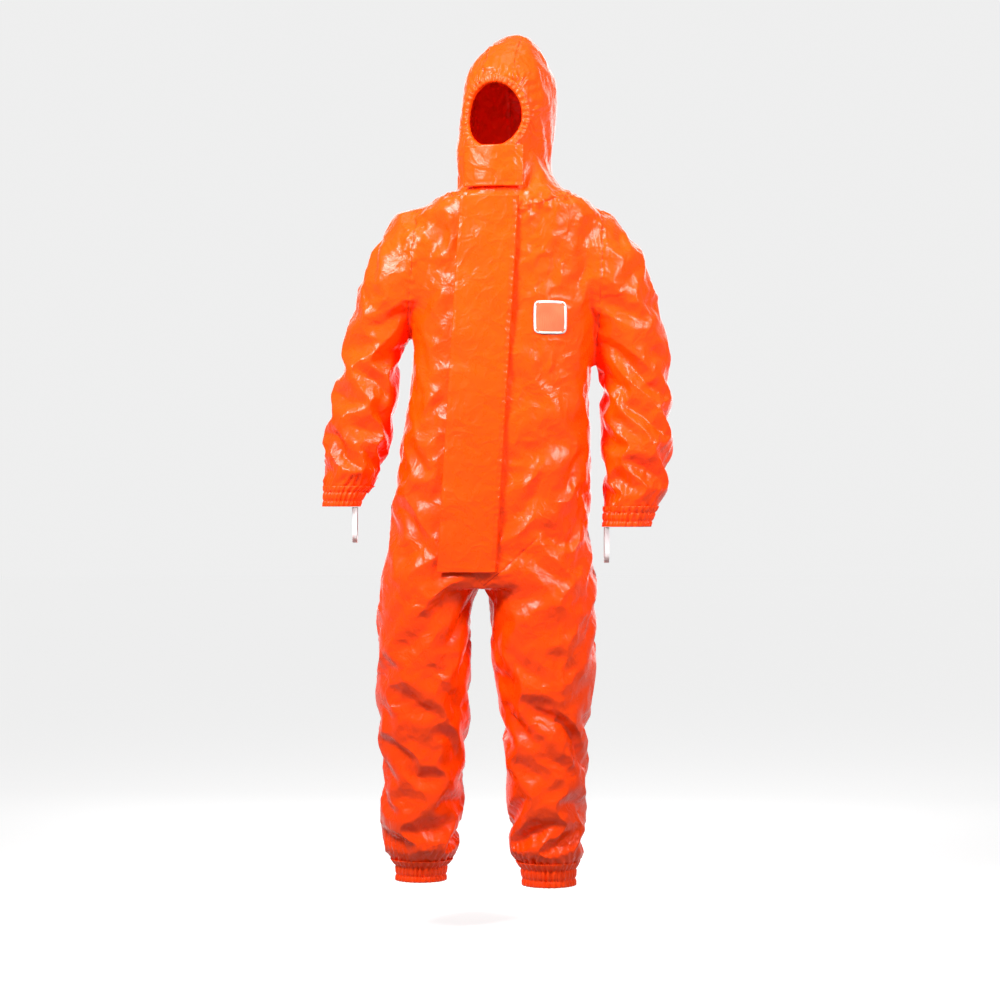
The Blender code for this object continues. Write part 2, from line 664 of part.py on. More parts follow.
def build_thumb_loop(name, top, looks):
    """A flat white elastic band that hangs as a U from the cuff, its flat side facing front to back."""
    path = [(-LOOP_HALF_GAP, 0.0), (-LOOP_HALF_GAP, -0.5 * LOOP_DROP)]
    bend_z = -(LOOP_DROP - LOOP_HALF_GAP)
    for k in range(9):
        angle = math.pi * k / 8
        path.append((-LOOP_HALF_GAP * math.cos(angle), bend_z - LOOP_HALF_GAP * math.sin(angle)))
    path += [(LOOP_HALF_GAP, -0.5 * LOOP_DROP), (LOOP_HALF_GAP, 0.0)]
    verts = []
    for i, (y, z) in enumerate(path):
        ahead = Vector(path[min(i + 1, len(path) - 1)])
        behind = Vector(path[max(i - 1, 0)])
        run = (ahead - behind).normalized()
        out = Vector((run.y, -run.x)) * (0.5 * LOOP_THICKNESS)
        for x, sign in ((-0.5, -1), (0.5, -1), (0.5, 1), (-0.5, 1)):
            verts.append(Vector((top[0] + x * LOOP_BAND, top[1] + y + sign * out.x,
                                 top[2] + z + sign * out.y)))
    faces = [(0, 1, 2, 3), tuple(len(verts) - 4 + k for k in range(4))]
    for r in range(len(path) - 1):
        for k in range(4):
            following = (k + 1) % 4
            faces.append((4 * r + k, 4 * r + following, 4 * r + 4 + following, 4 * r + 4 + k))
    loop = solid(name, verts, faces, looks["white"])
    set_origin(loop, (top[0], top[1], top[2] + 0.003))


def build_leg(side, skin, inner, looks):
    """Hip section, thigh, knee section, shin, ankle hem and its elastic."""
    sign = -1.0 if side == "R" else 1.0
    suffix = "_right" if side == "R" else "_left"
    everywhere = (-REACH, REACH)
    gusset_x = CROTCH[0] + sign * GUSSET_HALF
    hip = [ARM_SIDE[side][-1], LEG_LINE[side], (gusset_x, leg_line_z(side, gusset_x)),
           (gusset_x, GUSSET_BOTTOM), (CROTCH[0], GUSSET_BOTTOM),
           (CROTCH[0], THIGH_TOP), (sign * REACH, THIGH_TOP), (sign * REACH, ARM_SIDE[side][-1][1])]
    piece("hip_section" + suffix, skin, [prism(hip, *everywhere)], looks["film"])

    def stretch(top, bottom):
        return [(CROTCH[0], top), (CROTCH[0], bottom), (sign * REACH, bottom), (sign * REACH, top)]

    item = piece("thigh" + suffix, skin, [prism(stretch(THIGH_TOP, KNEE_TOP), *everywhere)],
                 looks["film"])
    set_origin(item, (LEGS[side][1][1], 0.0, HIP_Z))
    piece("knee_section" + suffix, skin, [prism(stretch(KNEE_TOP, KNEE_BOTTOM), *everywhere)],
          looks["film"])
    item = piece("shin" + suffix, skin, [prism(stretch(KNEE_BOTTOM, HEM_TOP), *everywhere)],
                 looks["film"])
    set_origin(item, (LEGS[side][4][1], 0.0, KNEE_Z))
    piece("ankle_hem" + suffix, skin, [prism(stretch(HEM_TOP, HEM_BOTTOM[side]), *everywhere)],
          looks["film"])
    piece("ankle_elastic" + suffix, inner,
          [prism(stretch(HEM_TOP - 0.014, HEM_BOTTOM[side] + 0.014), *everywhere)], looks["elastic"])


def build_chest_patch(body, looks):
    """A small plain patch on the wearer's left chest, following the front panel's surface."""
    centre_x, centre_z, half = 0.080, -0.252, 0.034
    corner = 0.008
    outline = []
    for cx, cz, start in ((1, 1, 0), (-1, 1, 90), (-1, -1, 180), (1, -1, 270)):
        for step in range(4):
            angle = math.radians(start + 30 * step)
            outline.append((centre_x + cx * (half - corner) + corner * math.cos(angle),
                            centre_z + cz * (half - corner) + corner * math.sin(angle)))
    skin = wall("patch_skin", body, 0.0015, 0.0006)
    piece("chest_patch", skin, [prism(outline, -REACH, 0.0)], looks["white"])
    return skin


def main():
    """Builds the whole suit."""
    for item in list(bpy.data.objects):
        bpy.data.objects.remove(item, do_unlink=True)
    looks = {
        "film": material("orange_film", (1.0, 0.12, 0.005), 0.3),
        "elastic": material("elastic_band", (0.75, 0.12, 0.03), 0.8),
        "tape": material("zip_tape", (0.95, 0.13, 0.01), 0.7),
        "teeth": material("zip_teeth", (0.9, 0.15, 0.02), 0.4),
        "liner": material("adhesive_liner", (0.85, 0.85, 0.82), 0.5),
        "white": material("white_woven", (0.85, 0.85, 0.85), 0.7),
    }
    body = outer_body()
    skin = wall("outer_skin", body, 0.0, WALL)
    inner = wall("inner_skin", body, -0.0022, 0.0008)
    tools = [body, skin, inner]
    build_torso(skin, inner, looks)
    build_zip(looks)
    build_storm_flap(looks)
    build_hood(skin, inner, looks)
    for side in ("R", "L"):
        build_arm(side, skin, inner, looks)
        build_leg(side, skin, inner, looks)
    tools.append(build_chest_patch(body, looks))
    cutters = [item for item in bpy.data.objects if item.name.startswith("cutter")]
    for item in tools + cutters:
        bpy.data.objects.remove(item, do_unlink=True)


main()
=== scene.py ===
"""Looks of the chemical protective suit: crumpled orange film, elastics, zip, flaps, light and camera.

Metres, +Z up, in the CAD model's frame: the wearer faces -Y and +X is the wearer's left. The film is one
cloth, laid over the same rounded body as the CAD model, made larger than it and relaxed until it buckles,
and then cut into pieces that take the place of the CAD model's cloth nodes; only the torso's piece is
attached to a body, the root.
"""

import math
from collections import namedtuple

import bmesh
import bpy
import numpy as np
from mathutils import Matrix, Vector


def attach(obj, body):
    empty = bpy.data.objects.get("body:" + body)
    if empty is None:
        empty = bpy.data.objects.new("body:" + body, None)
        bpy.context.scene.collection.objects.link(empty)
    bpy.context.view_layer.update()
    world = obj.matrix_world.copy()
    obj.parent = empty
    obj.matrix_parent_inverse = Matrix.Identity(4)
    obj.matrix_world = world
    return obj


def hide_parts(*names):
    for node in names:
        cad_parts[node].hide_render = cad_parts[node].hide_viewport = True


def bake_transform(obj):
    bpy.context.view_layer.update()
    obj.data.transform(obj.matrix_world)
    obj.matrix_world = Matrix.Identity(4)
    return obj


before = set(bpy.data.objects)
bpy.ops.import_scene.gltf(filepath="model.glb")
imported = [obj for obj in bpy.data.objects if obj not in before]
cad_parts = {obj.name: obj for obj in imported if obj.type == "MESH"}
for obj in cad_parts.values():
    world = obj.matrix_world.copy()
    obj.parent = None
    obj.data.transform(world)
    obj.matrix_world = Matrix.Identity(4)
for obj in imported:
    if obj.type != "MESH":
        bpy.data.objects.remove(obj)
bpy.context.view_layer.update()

# ---------------------------------------------------------------- the suit's form, as in the CAD model
LEAN = 0.0615
RING_POINTS = 36
GRID = 0.0075
CUFF_TOP = {"R": -0.600, "L": -0.642}
CUFF_BOTTOM = {"R": -0.640, "L": -0.682}
HEM_TOP = -1.378
HEM_BOTTOM = {"R": -1.420, "L": -1.425}
WAIST_Z = -0.600
ELBOW_Z, KNEE_Z = -0.400, -1.090
SLEEVE_SPLIT, LEG_SPLIT = -0.355, -1.000     # where the film is cut between upper and lower limb
ZIP_X, ZIP_Y = -0.009, -0.1350
ZIP_TOP, ZIP_BOTTOM = -0.030, -0.765
ZIP_STOP = 0.0063        # length at each end of the zip that its stops take
TEETH_HALF_WIDTH = 0.0022
TOOTH_PITCH, TOOTH_SHIFT = 0.0032, 0.0004
TOOTH_DEPTH, TOOTH_PROUD = 0.0018, 0.0012
FLAP_SEWN_X, FLAP_WIDTH = 0.016, 0.120
FLAP_TOP, FLAP_BOTTOM = -0.004, -0.773
FLAP_Y, FLAP_SAG = -0.1460, 0.013
FLAP_INSET = 0.0006      # middle of the cloth's thickness, behind the flap's front face
FLAP_PUCKERS = 52        # puckers along the sewn edge
HOOD_TURN = math.radians(-14.0)
HOOD_CENTRE = Vector((-0.004, 0.0, 0.0))
HOOD_STRIP_HALF = 0.032
HOOD_SEAM = 0.035
FACE_CENTRE = (-0.006, 0.164)
FACE_HALF = (0.056, 0.067)
FACE_HEM = 0.016
CHIN_FLAP_X = (-0.064, 0.060)
CHIN_FLAP_Z = (0.016, 0.100)
CHIN_FLAP_CREST = (-0.010, -0.1375)
CHIN_FLAP_CURVE = 4.2
LOOP_TOP = {"R": (-0.324, -0.016, -0.6430), "L": (0.199, -0.016, -0.6850)}
LOOP_HALF_GAP, LOOP_DROP = 0.021, 0.070
LOOP_BAND, LOOP_THICKNESS = 0.0100, 0.0012
LOOP_RIBS, LOOP_RIB_HEIGHT = 11, 0.0003
STITCH_ROWS = (0.30, 0.72)           # rows of stitching on the gathered hems, from 0 at the top to 1
PATCH_CENTRE, PATCH_HALF = (0.080, -0.252), 0.034
PATCH_RIM = 0.86         # where the rim starts, from the middle at 0 to the edge at 1
PATCH_PROUD, PATCH_RIM_PROUD = 0.0019, 0.0026
PATCH_THICKNESS = 0.0014
PATCH_BRIDGE = 0.007     # folds of the film that are smaller than this don't show in the patch
CLOTH_THICKNESS = 0.0008
FRONT_BACK_Y = 0.010
FAR = 9.0                # a distance that stands for nowhere near
SECTION_POWER = {"torso": 2.5, "hood": 2.2, "limb": 2.1}
SIDE_NAME = {"R": "right", "L": "left"}

# Cross-sections: height, middle x, half width, front y, back y
TORSO = [
    (0.060, 0.000, 0.080, -0.105, 0.090),
    (0.020, 0.000, 0.105, -0.126, 0.100),
    (-0.004, 0.000, 0.158, -0.132, 0.108),
    (-0.030, -0.002, 0.190, -0.135, 0.118),
    (-0.070, -0.004, 0.198, -0.135, 0.126),
    (-0.150, -0.009, 0.197, -0.135, 0.134),
    (-0.300, -0.017, 0.187, -0.135, 0.134),
    (-0.400, -0.023, 0.187, -0.135, 0.128),
    (-0.490, -0.030, 0.196, -0.135, 0.126),
    (-0.600, -0.037, 0.204, -0.135, 0.130),
    (-0.700, -0.043, 0.206, -0.135, 0.140),
    (-0.770, -0.047, 0.220, -0.136, 0.144),
    (-0.808, -0.052, 0.222, -0.126, 0.134),
]
HOOD = [
    (-0.020, -0.002, 0.096, -0.126, 0.114),
    (0.035, -0.004, 0.094, -0.134, 0.126),
    (0.100, -0.010, 0.093, -0.134, 0.138),
    (0.160, -0.004, 0.094, -0.124, 0.148),
    (0.210, -0.002, 0.094, -0.114, 0.148),
    (0.255, 0.000, 0.088, -0.100, 0.134),
    (0.292, 0.003, 0.070, -0.076, 0.108),
    (0.320, 0.008, 0.048, -0.046, 0.076),
    (0.338, 0.011, 0.026, -0.018, 0.046),
    (0.346, 0.012, 0.008, 0.000, 0.024),
]
# Sleeves: middle x, y, z, half width across the sleeve, half depth front to back
SLEEVES = {
    "R": [
        (-0.100, 0.006, -0.100, 0.098, 0.100),
        (-0.176, 0.008, -0.128, 0.118, 0.104),
        (-0.220, 0.010, -0.172, 0.092, 0.100),
        (-0.255, 0.013, -0.215, 0.070, 0.090),
        (-0.272, 0.015, -0.260, 0.064, 0.082),
        (-0.288, 0.018, -0.316, 0.061, 0.078),
        (-0.299, 0.020, -0.390, 0.066, 0.080),
        (-0.314, 0.012, -0.488, 0.067, 0.076),
        (-0.331, 0.000, -0.560, 0.060, 0.068),
        (-0.345, -0.010, -0.605, 0.044, 0.050),
        (-0.353, -0.014, -0.640, 0.037, 0.042),
        (-0.358, -0.016, -0.665, 0.036, 0.040),
    ],
    "L": [
        (0.080, 0.006, -0.100, 0.098, 0.100),
        (0.145, 0.008, -0.125, 0.116, 0.104),
        (0.195, 0.010, -0.170, 0.100, 0.100),
        (0.228, 0.012, -0.225, 0.080, 0.090),
        (0.246, 0.015, -0.285, 0.077, 0.084),
        (0.257, 0.018, -0.345, 0.074, 0.081),
        (0.260, 0.020, -0.400, 0.075, 0.082),
        (0.261, 0.010, -0.500, 0.075, 0.080),
        (0.257, -0.002, -0.580, 0.069, 0.072),
        (0.249, -0.012, -0.636, 0.056, 0.056),
        (0.240, -0.016, -0.682, 0.048, 0.046),
        (0.236, -0.018, -0.705, 0.046, 0.044),
    ],
}
# Legs: height, middle x, half width, front y, back y
LEGS = {
    "R": [
        (-0.720, -0.150, 0.100, -0.122, 0.126),
        (-0.800, -0.170, 0.101, -0.128, 0.130),
        (-0.860, -0.179, 0.098, -0.124, 0.122),
        (-1.000, -0.180, 0.097, -0.112, 0.112),
        (-1.100, -0.181, 0.094, -0.098, 0.108),
        (-1.200, -0.182, 0.084, -0.082, 0.110),
        (-1.300, -0.187, 0.081, -0.072, 0.110),
        (-1.350, -0.184, 0.070, -0.056, 0.096),
        (-1.390, -0.187, 0.052, -0.036, 0.078),
        (-1.445, -0.189, 0.050, -0.034, 0.076),
    ],
    "L": [
        (-0.720, 0.056, 0.106, -0.124, 0.126),
        (-0.800, 0.063, 0.112, -0.132, 0.128),
        (-0.860, 0.066, 0.112, -0.134, 0.120),
        (-0.950, 0.067, 0.109, -0.130, 0.110),
        (-1.100, 0.072, 0.090, -0.122, 0.086),
        (-1.200, 0.075, 0.081, -0.114, 0.078),
        (-1.300, 0.073, 0.078, -0.106, 0.076),
        (-1.350, 0.075, 0.072, -0.098, 0.064),
        (-1.390, 0.078, 0.056, -0.084, 0.040),
        (-1.445, 0.080, 0.052, -0.080, 0.036),
    ],
}
# Seam lines in the X-Z plane
NECK_LINE = [(-0.130, 0.035), (-0.122, 0.004), (-0.055, -0.022), (0.0, -0.030),
             (0.055, -0.022), (0.122, 0.004), (0.130, 0.035)]
ARM_LINE = {
    "R": [(-0.190, 0.060), (-0.203, -0.100), (-0.215, -0.300), (-0.221, -0.390),
          (-0.236, -0.490), (-0.264, -0.600), (-0.300, -0.668)],
    "L": [(0.184, 0.060), (0.190, -0.100), (0.178, -0.310), (0.176, -0.390),
          (0.176, -0.490), (0.178, -0.600), (0.180, -0.668)],
}
ARMHOLE_POINTS = 3
CROTCH = (-0.056, -0.800)
LEG_LINE = [(-0.300, -0.668), (-0.150, -0.705), CROTCH, (0.052, -0.705), (0.180, -0.668)]

# ---------------------------------------------------------------- the cloth
SEED = 7
STEPS = 120
SETTLE = 26              # last steps, in which short folds may form too
SWEEPS = 3
DAMPING = 0.90
ANCHOR = 0.003           # how firmly the cloth keeps its place along the body
BEND = 0.16              # share of a bend that each pass straightens
LONG_HOPS = 4            # length of the long bends, in grid steps
LONG_BEND = 0.05
FACET_PASSES = 9         # how far the film is flattened between its creases
FACET_TURN = 0.30        # turn between two faces, as a normal's change, that counts as a crease
SHARPEN = 0.60           # how far creases are drawn out of the smoothed surface
FILM_TUCK = 0.010        # how far the film reaches under the gathered hems
# Lowest x, highest x and lowest z of the cut-off end of the left sleeve's form
BELOW_LEFT_CUFF = (0.185, 0.310, -0.76)
# Extra size along and around the body, and how far the film may fold in and stand out
LOOSE = {"body": (0.030, 0.030, 0.022, 0.011), "hood": (0.040, 0.042, 0.013, 0.006)}
LOOSE_IN = {"arm": 0.026, "leg": 0.030, "shoulder": 0.003, "flap": 0.008}
LOOSE_OUT = {"between": 0.003, "crotch": 0.002, "flap": 0.0, "chin": -0.001}
# Places with more folds: middle height and reach
WAIST_FOLDS = (WAIST_Z, 0.07)
ELBOW_FOLDS = (ELBOW_Z, 0.080)
KNEE_FOLDS = (KNEE_Z, 0.110)
CHIN_MARGIN = 0.012      # how far the calm film reaches past the chin flap
CHIN_RECESS = 0.0040     # how far the film lies back behind the chin flap, so that the hood can nod

# ---------------------------------------------------------------- where the film bends, from and to
ELBOW_BEND = ((0.0, 0.0, -0.360), (0.0, 0.0, -0.455))
KNEE_BEND = ((0.0, 0.0, -1.010), (0.0, 0.0, -1.160))
SHOULDER_BEND = {"R": ((-0.260, 0.0, -0.195), (-0.320, 0.0, -0.240)),
                 "L": ((0.244, 0.0, -0.183), (0.2928, 0.0, -0.2196))}
HIP_BEND = {"R": ((-0.3008, 0.0, -0.6896), (-0.380, 0.0, -0.871)),
            "L": ((0.2844, 0.0, -0.652), (0.360, 0.0, -0.8253))}

# ---------------------------------------------------------------- light and camera
FLOOR_Z = -1.520
FLOOR_HALF = 30.0
FLOOR_GLOW = 0.70
BACKDROP_RADIUS = 28.0
BACKDROP_GLOW = 0.86
WORLD_LIGHT = 0.32
LIGHT_AIM = (0.0, 0.0, -0.10)
LIGHT_SPREAD = math.radians(90.0)
SEAM_GROOVE_AND_SHADE = 0.0016     # half width of a seam's groove and of the dark line of painted shade along it
FILM_GLOSS = 0.17        # a low specular level keeps the film's colour pure outside its highlights
# Softboxes: name, place, width, height, watts
SOFTBOXES = [
    ("key", (-1.2, -1.35, 1.00), 0.7, 1.1, 33.0),
    ("fill", (1.3, -1.30, 0.80), 0.5, 1.0, 17.0),
    ("top", (0.1, -0.3, 2.0), 1.6, 1.2, 5.0),
    ("back", (0.2, 3.0, 0.4), 3.4, 2.8, 22.0),
]
CAMERA_Y = -6.0
VIEW_PLANE_Y = -0.1      # where VIEW_WIDTH is measured
VIEW_WIDTH = 2.05
VIEW_CENTRE = (-0.0226, -0.625)
SENSOR_WIDTH = 36.0


# ================================================================ mesh helpers
def linked(name, data):
    """An object in the scene with this mesh, light or camera."""
    item = bpy.data.objects.new(name, data)
    bpy.context.scene.collection.objects.link(item)
    return item


def mesh_of(name, verts, faces):
    """A mesh from points and faces."""
    mesh = bpy.data.meshes.new(name)
    mesh.from_pydata([tuple(v) for v in verts], [], [tuple(int(i) for i in f) for f in faces])
    return mesh


def outward(mesh):
    """Turns a closed mesh's faces out."""
    work = bmesh.new()
    work.from_mesh(mesh)
    bmesh.ops.recalc_face_normals(work, faces=work.faces)
    work.to_mesh(mesh)
    work.free()
    return mesh


def grid_faces(rows, columns, closed=False):
    """Four-cornered faces of a grid of points, row by row; closed joins the last column to the first."""
    faces = []
    for r in range(rows - 1):
        for k in range(columns if closed else columns - 1):
            following = (k + 1) % columns
            faces.append((r * columns + k, r * columns + following,
                          (r + 1) * columns + following, (r + 1) * columns + k))
    return faces


def evaluated(item):
    """The mesh that an object's modifiers give; the object is removed."""
    bpy.context.view_layer.update()
    graph = bpy.context.evaluated_depsgraph_get()
    mesh = bpy.data.meshes.new_from_object(item.evaluated_get(graph))
    bpy.data.objects.remove(item, do_unlink=True)
    return mesh


def smooth_shaded(mesh, *looks):
    """The mesh, shaded smooth, with only these materials."""
    mesh.materials.clear()
    for look in looks:
        mesh.materials.append(look)
    mesh.polygons.foreach_set("use_smooth", [True] * len(mesh.polygons))
    return mesh


def thickened(name, verts, faces, thickness, offset=0.0, soft=False):
    """The mesh of a sheet given a thickness, and rounded once if it is soft."""
    item = linked(name, mesh_of(name, verts, faces))
    thick = item.modifiers.new("thick", "SOLIDIFY")
    thick.thickness = thickness
    thick.offset = offset
    if soft:
        rounded = item.modifiers.new("soft", "SUBSURF")
        rounded.levels = rounded.render_levels = 1
    return evaluated(item)


def set_attribute(mesh, label, kind, values):
    """A named value at each point of a mesh."""
    attribute = mesh.attributes.new(label, kind, "POINT")
    attribute.data.foreach_set("vector" if kind == "FLOAT_VECTOR" else "value",
                               np.asarray(values, np.float32).ravel())


def arrays(mesh):
    """Points and four-cornered faces of a mesh."""
    points = np.empty(3 * len(mesh.vertices), np.float32)
    mesh.vertices.foreach_get("co", points)
    totals = np.empty(len(mesh.polygons), np.int32)
    mesh.polygons.foreach_get("loop_total", totals)
    corners = np.empty(len(mesh.loops), np.int32)
    mesh.loops.foreach_get("vertex_index", corners)
    starts = np.concatenate([[0], np.cumsum(totals)[:-1]])[totals == 4]
    quads = corners[starts[:, None] + np.arange(4)]
    return points.reshape(-1, 3).astype(float), quads


def superellipse(centre, side, depth, half_side, front, back, power):
    """A ring of points around centre: half_side along side, and front and back along depth."""
    ring = []
    for k in range(RING_POINTS):
        angle = 2.0 * math.pi * k / RING_POINTS
        c, s = math.cos(angle), math.sin(angle)
        u = math.copysign(abs(c) ** (2.0 / power), c) * half_side
        v = math.copysign(abs(s) ** (2.0 / power), s) * (back if s > 0.0 else front)
        ring.append(centre + side * u + depth * v)
    return ring


def level_ring(z, x, half_width, front_y, back_y, power):
    """A horizontal cross-section."""
    middle_y = 0.5 * (front_y + back_y)
    return superellipse(Vector((x, middle_y, z)), Vector((1, 0, 0)), Vector((0, 1, 0)),
                        half_width, middle_y - front_y, back_y - middle_y, power)


def loft(name, rings):
    """A closed tube through rings that have the same number of points."""
    count = len(rings[0])
    verts = [v for ring in rings for v in ring]
    faces = [tuple(range(count)), tuple(range(len(verts) - count, len(verts)))]
    faces += grid_faces(len(rings), count, closed=True)
    return outward(mesh_of(name, verts, faces))


def sleeve_rings(stations):
    """Rings square to the sleeve's path."""
    rings = []
    for i, (x, y, z, half_width, half_depth) in enumerate(stations):
        ahead = Vector(stations[min(i + 1, len(stations) - 1)][:3])
        behind = Vector(stations[max(i - 1, 0)][:3])
        path = (ahead - behind).normalized()
        depth = (Vector((0, 1, 0)) - path * path.y).normalized()
        side = depth.cross(path)
        rings.append(superellipse(Vector((x, y, z)), side, depth, half_width,
                                  half_depth, half_depth, SECTION_POWER["limb"]))
    return rings


def hood_frame():
    """World matrix of the turned hood."""
    return Matrix.Translation(HOOD_CENTRE) @ Matrix.Rotation(HOOD_TURN, 4, "Z")


def in_hood(points):
    """Points in the turned hood's own frame."""
    turn = np.array(hood_frame().inverted())
    return points @ turn[:3, :3].T + turn[:3, 3]


def rounded_body():
    """Points and faces of the suit's outer form, on an even grid."""
    forms = [loft("torso_form", [level_ring(*row, SECTION_POWER["torso"]) for row in TORSO])]
    hood = loft("hood_form", [level_ring(*row, SECTION_POWER["hood"]) for row in HOOD])
    hood.transform(hood_frame())
    forms.append(hood)
    for side in ("R", "L"):
        forms.append(loft("sleeve_form", sleeve_rings(SLEEVES[side])))
        forms.append(loft("leg_form", [level_ring(*row, SECTION_POWER["limb"]) for row in LEGS[side]]))
    work = bmesh.new()
    for mesh in forms:
        work.from_mesh(mesh)
        bpy.data.meshes.remove(mesh)
    mesh = bpy.data.meshes.new("body_form")
    work.to_mesh(mesh)
    work.free()
    body = linked("body_form", mesh)
    join = body.modifiers.new("join", "REMESH")
    join.mode = "VOXEL"
    join.voxel_size = GRID
    ease = body.modifiers.new("ease", "SMOOTH")
    ease.factor = 0.5
    ease.iterations = 8
    return arrays(evaluated(body))


def subdivided(points, quads):
    """The smooth surface with four faces for each one."""
    item = linked("finer", mesh_of("finer", points, quads))
    finer = item.modifiers.new("finer", "SUBSURF")
    finer.levels = finer.render_levels = 1
    return arrays(evaluated(item))


def vertex_normals(points, quads):
    """Unit normals at the points."""
    a, b, c, d = (points[quads[:, k]] for k in range(4))
    face = np.cross(c - a, d - b)
    total = np.zeros_like(points)
    for k in range(4):
        for axis in range(3):
            total[:, axis] += np.bincount(quads[:, k], face[:, axis], len(points))
    return total / np.maximum(np.linalg.norm(total, axis=1), 1e-12)[:, None]


def smoothed(values, quads, passes):
    """Values at the points, averaged with their neighbours."""
    count = len(values)
    flat = values.reshape(count, -1).astype(float)
    ends = np.concatenate([quads[:, [k, (k + 1) % 4]] for k in range(4)])
    share = np.bincount(ends[:, 0], minlength=count) + np.bincount(ends[:, 1], minlength=count)
    share = np.maximum(share, 1)
    for _ in range(passes):
        total = np.zeros_like(flat)
        for column in range(flat.shape[1]):
            total[:, column] = (np.bincount(ends[:, 0], flat[ends[:, 1], column], count)
                                + np.bincount(ends[:, 1], flat[ends[:, 0], column], count))
        flat = 0.5 * flat + 0.5 * total / share[:, None]
    return flat.reshape(values.shape)


def waves(points, length, seed, count=36, squeeze=(1.0, 1.0, 1.0)):
    """Smooth seeded noise with about this wavelength, mostly between -1.5 and 1.5."""
    rng = np.random.default_rng(SEED * 1000 + seed)
    ways = rng.normal(size=(count, 3))
    ways /= np.linalg.norm(ways, axis=1)[:, None]
    ways *= 2.0 * math.pi / (length * rng.uniform(0.7, 1.5, count))[:, None]
    phase = rng.uniform(0.0, 2.0 * math.pi, count)
    return np.cos((points * np.array(squeeze)) @ ways.T + phase).sum(axis=1) / math.sqrt(0.5 * count)


def bump(value, middle, width):
    """1 at middle, falling to 0 over about width."""
    return np.exp(-((value - middle) / width) ** 2)


def line_distance(u, v, line):
    """Distance of points (u, v) from a polyline."""
    best = np.full(len(u), FAR)
    for (u0, v0), (u1, v1) in zip(line, line[1:]):
        du, dv = u1 - u0, v1 - v0
        t = np.clip(((u - u0) * du + (v - v0) * dv) / (du * du + dv * dv), 0.0, 1.0)
        best = np.minimum(best, np.hypot(u - u0 - t * du, v - v0 - t * dv))
    return best


# ================================================================ regions of the film
def line_x(side, z):
    """x of the line between the torso and the arm at heights z."""
    line = sorted(ARM_LINE[side], key=lambda p: p[1])
    return np.interp(z, [p[1] for p in line], [p[0] for p in line])


def regions(points):
    """Which of torso, hood, arms and legs each point lies in, as a dict of masks."""
    x, z = points[:, 0], points[:, 2]
    arm_r = (x < line_x("R", z)) & (z < 0.03) & (z > -0.75)
    arm_l = (x > line_x("L", z)) & (z < 0.03) & (z > -0.75)
    leg_top = np.interp(x, [p[0] for p in LEG_LINE], [p[1] for p in LEG_LINE])
    legs = (z < leg_top) & ~arm_r & ~arm_l
    leg_r = legs & (x < CROTCH[0])
    leg_l = legs & (x >= CROTCH[0])
    neck = np.interp(x, [p[0] for p in NECK_LINE], [p[1] for p in NECK_LINE])
    hood = (z > neck) & (np.abs(x) < 0.13)
    torso = ~(arm_r | arm_l | legs | hood)
    return {"torso": torso, "hood": hood, "arm_R": arm_r, "arm_L": arm_l, "leg_R": leg_r, "leg_L": leg_l}


def limb_axis(points, areas):
    """Unit direction along the limb at each point."""
    axis = np.zeros_like(points)
    axis[:, 2] = 1.0
    for side in ("R", "L"):
        rows = np.array(SLEEVES[side])[::-1]
        mask = areas["arm_" + side]
        z = points[mask, 2]
        step = 0.03
        for column in (0, 1):
            above = np.interp(z + step, rows[:, 2], rows[:, column])
            below = np.interp(z - step, rows[:, 2], rows[:, column])
            axis[mask, column] = np.clip((above - below) / (2.0 * step), -1.0, 1.0)
    return axis / np.linalg.norm(axis, axis=1)[:, None]


def face_radius(points):
    """Distance from the middle of the face opening, 1 on the opening's edge, and FAR at the hood's back."""
    local = in_hood(points)
    radius = np.hypot((local[:, 0] - FACE_CENTRE[0]) / FACE_HALF[0],
                      (local[:, 2] - FACE_CENTRE[1]) / FACE_HALF[1])
    return np.where(local[:, 1] < 0.0, radius, FAR)


def seam_distance(points, areas):
    """Distance from the nearest seam, measured on the smooth form."""
    x, y, z = points.T
    local = in_hood(points)
    torso, hood, legs = areas["torso"], areas["hood"], areas["leg_R"] | areas["leg_L"]
    on_strip = hood & (local[:, 2] > HOOD_SEAM)
    on_strip &= (local[:, 2] > FACE_CENTRE[1] + FACE_HALF[1]) | (local[:, 1] > 0.0)
    seams = [(torso | areas["arm_" + side], line_distance(x, z, ARM_LINE[side][:ARMHOLE_POINTS]))
             for side in ("R", "L")]
    seams += [
        (torso | hood, line_distance(x, z, NECK_LINE)),
        ((torso | legs) & (z < -0.62), line_distance(x, z, LEG_LINE[1:4])),
        (torso | legs, np.abs(y - FRONT_BACK_Y)),
        (torso & (y > 0.0), np.abs(x - LEAN * z)),
        (on_strip, np.abs(np.abs(local[:, 0]) - HOOD_STRIP_HALF)),
    ]
    best = np.full(len(points), FAR)
    for mask, distance in seams:
        best[mask] = np.minimum(best, distance)[mask]
    return best


# ================================================================ the cloth
# place and rest are the worn and the smooth positions of the points; areas are the masks from regions()
Film = namedtuple("Film", "place quads normals rest areas")


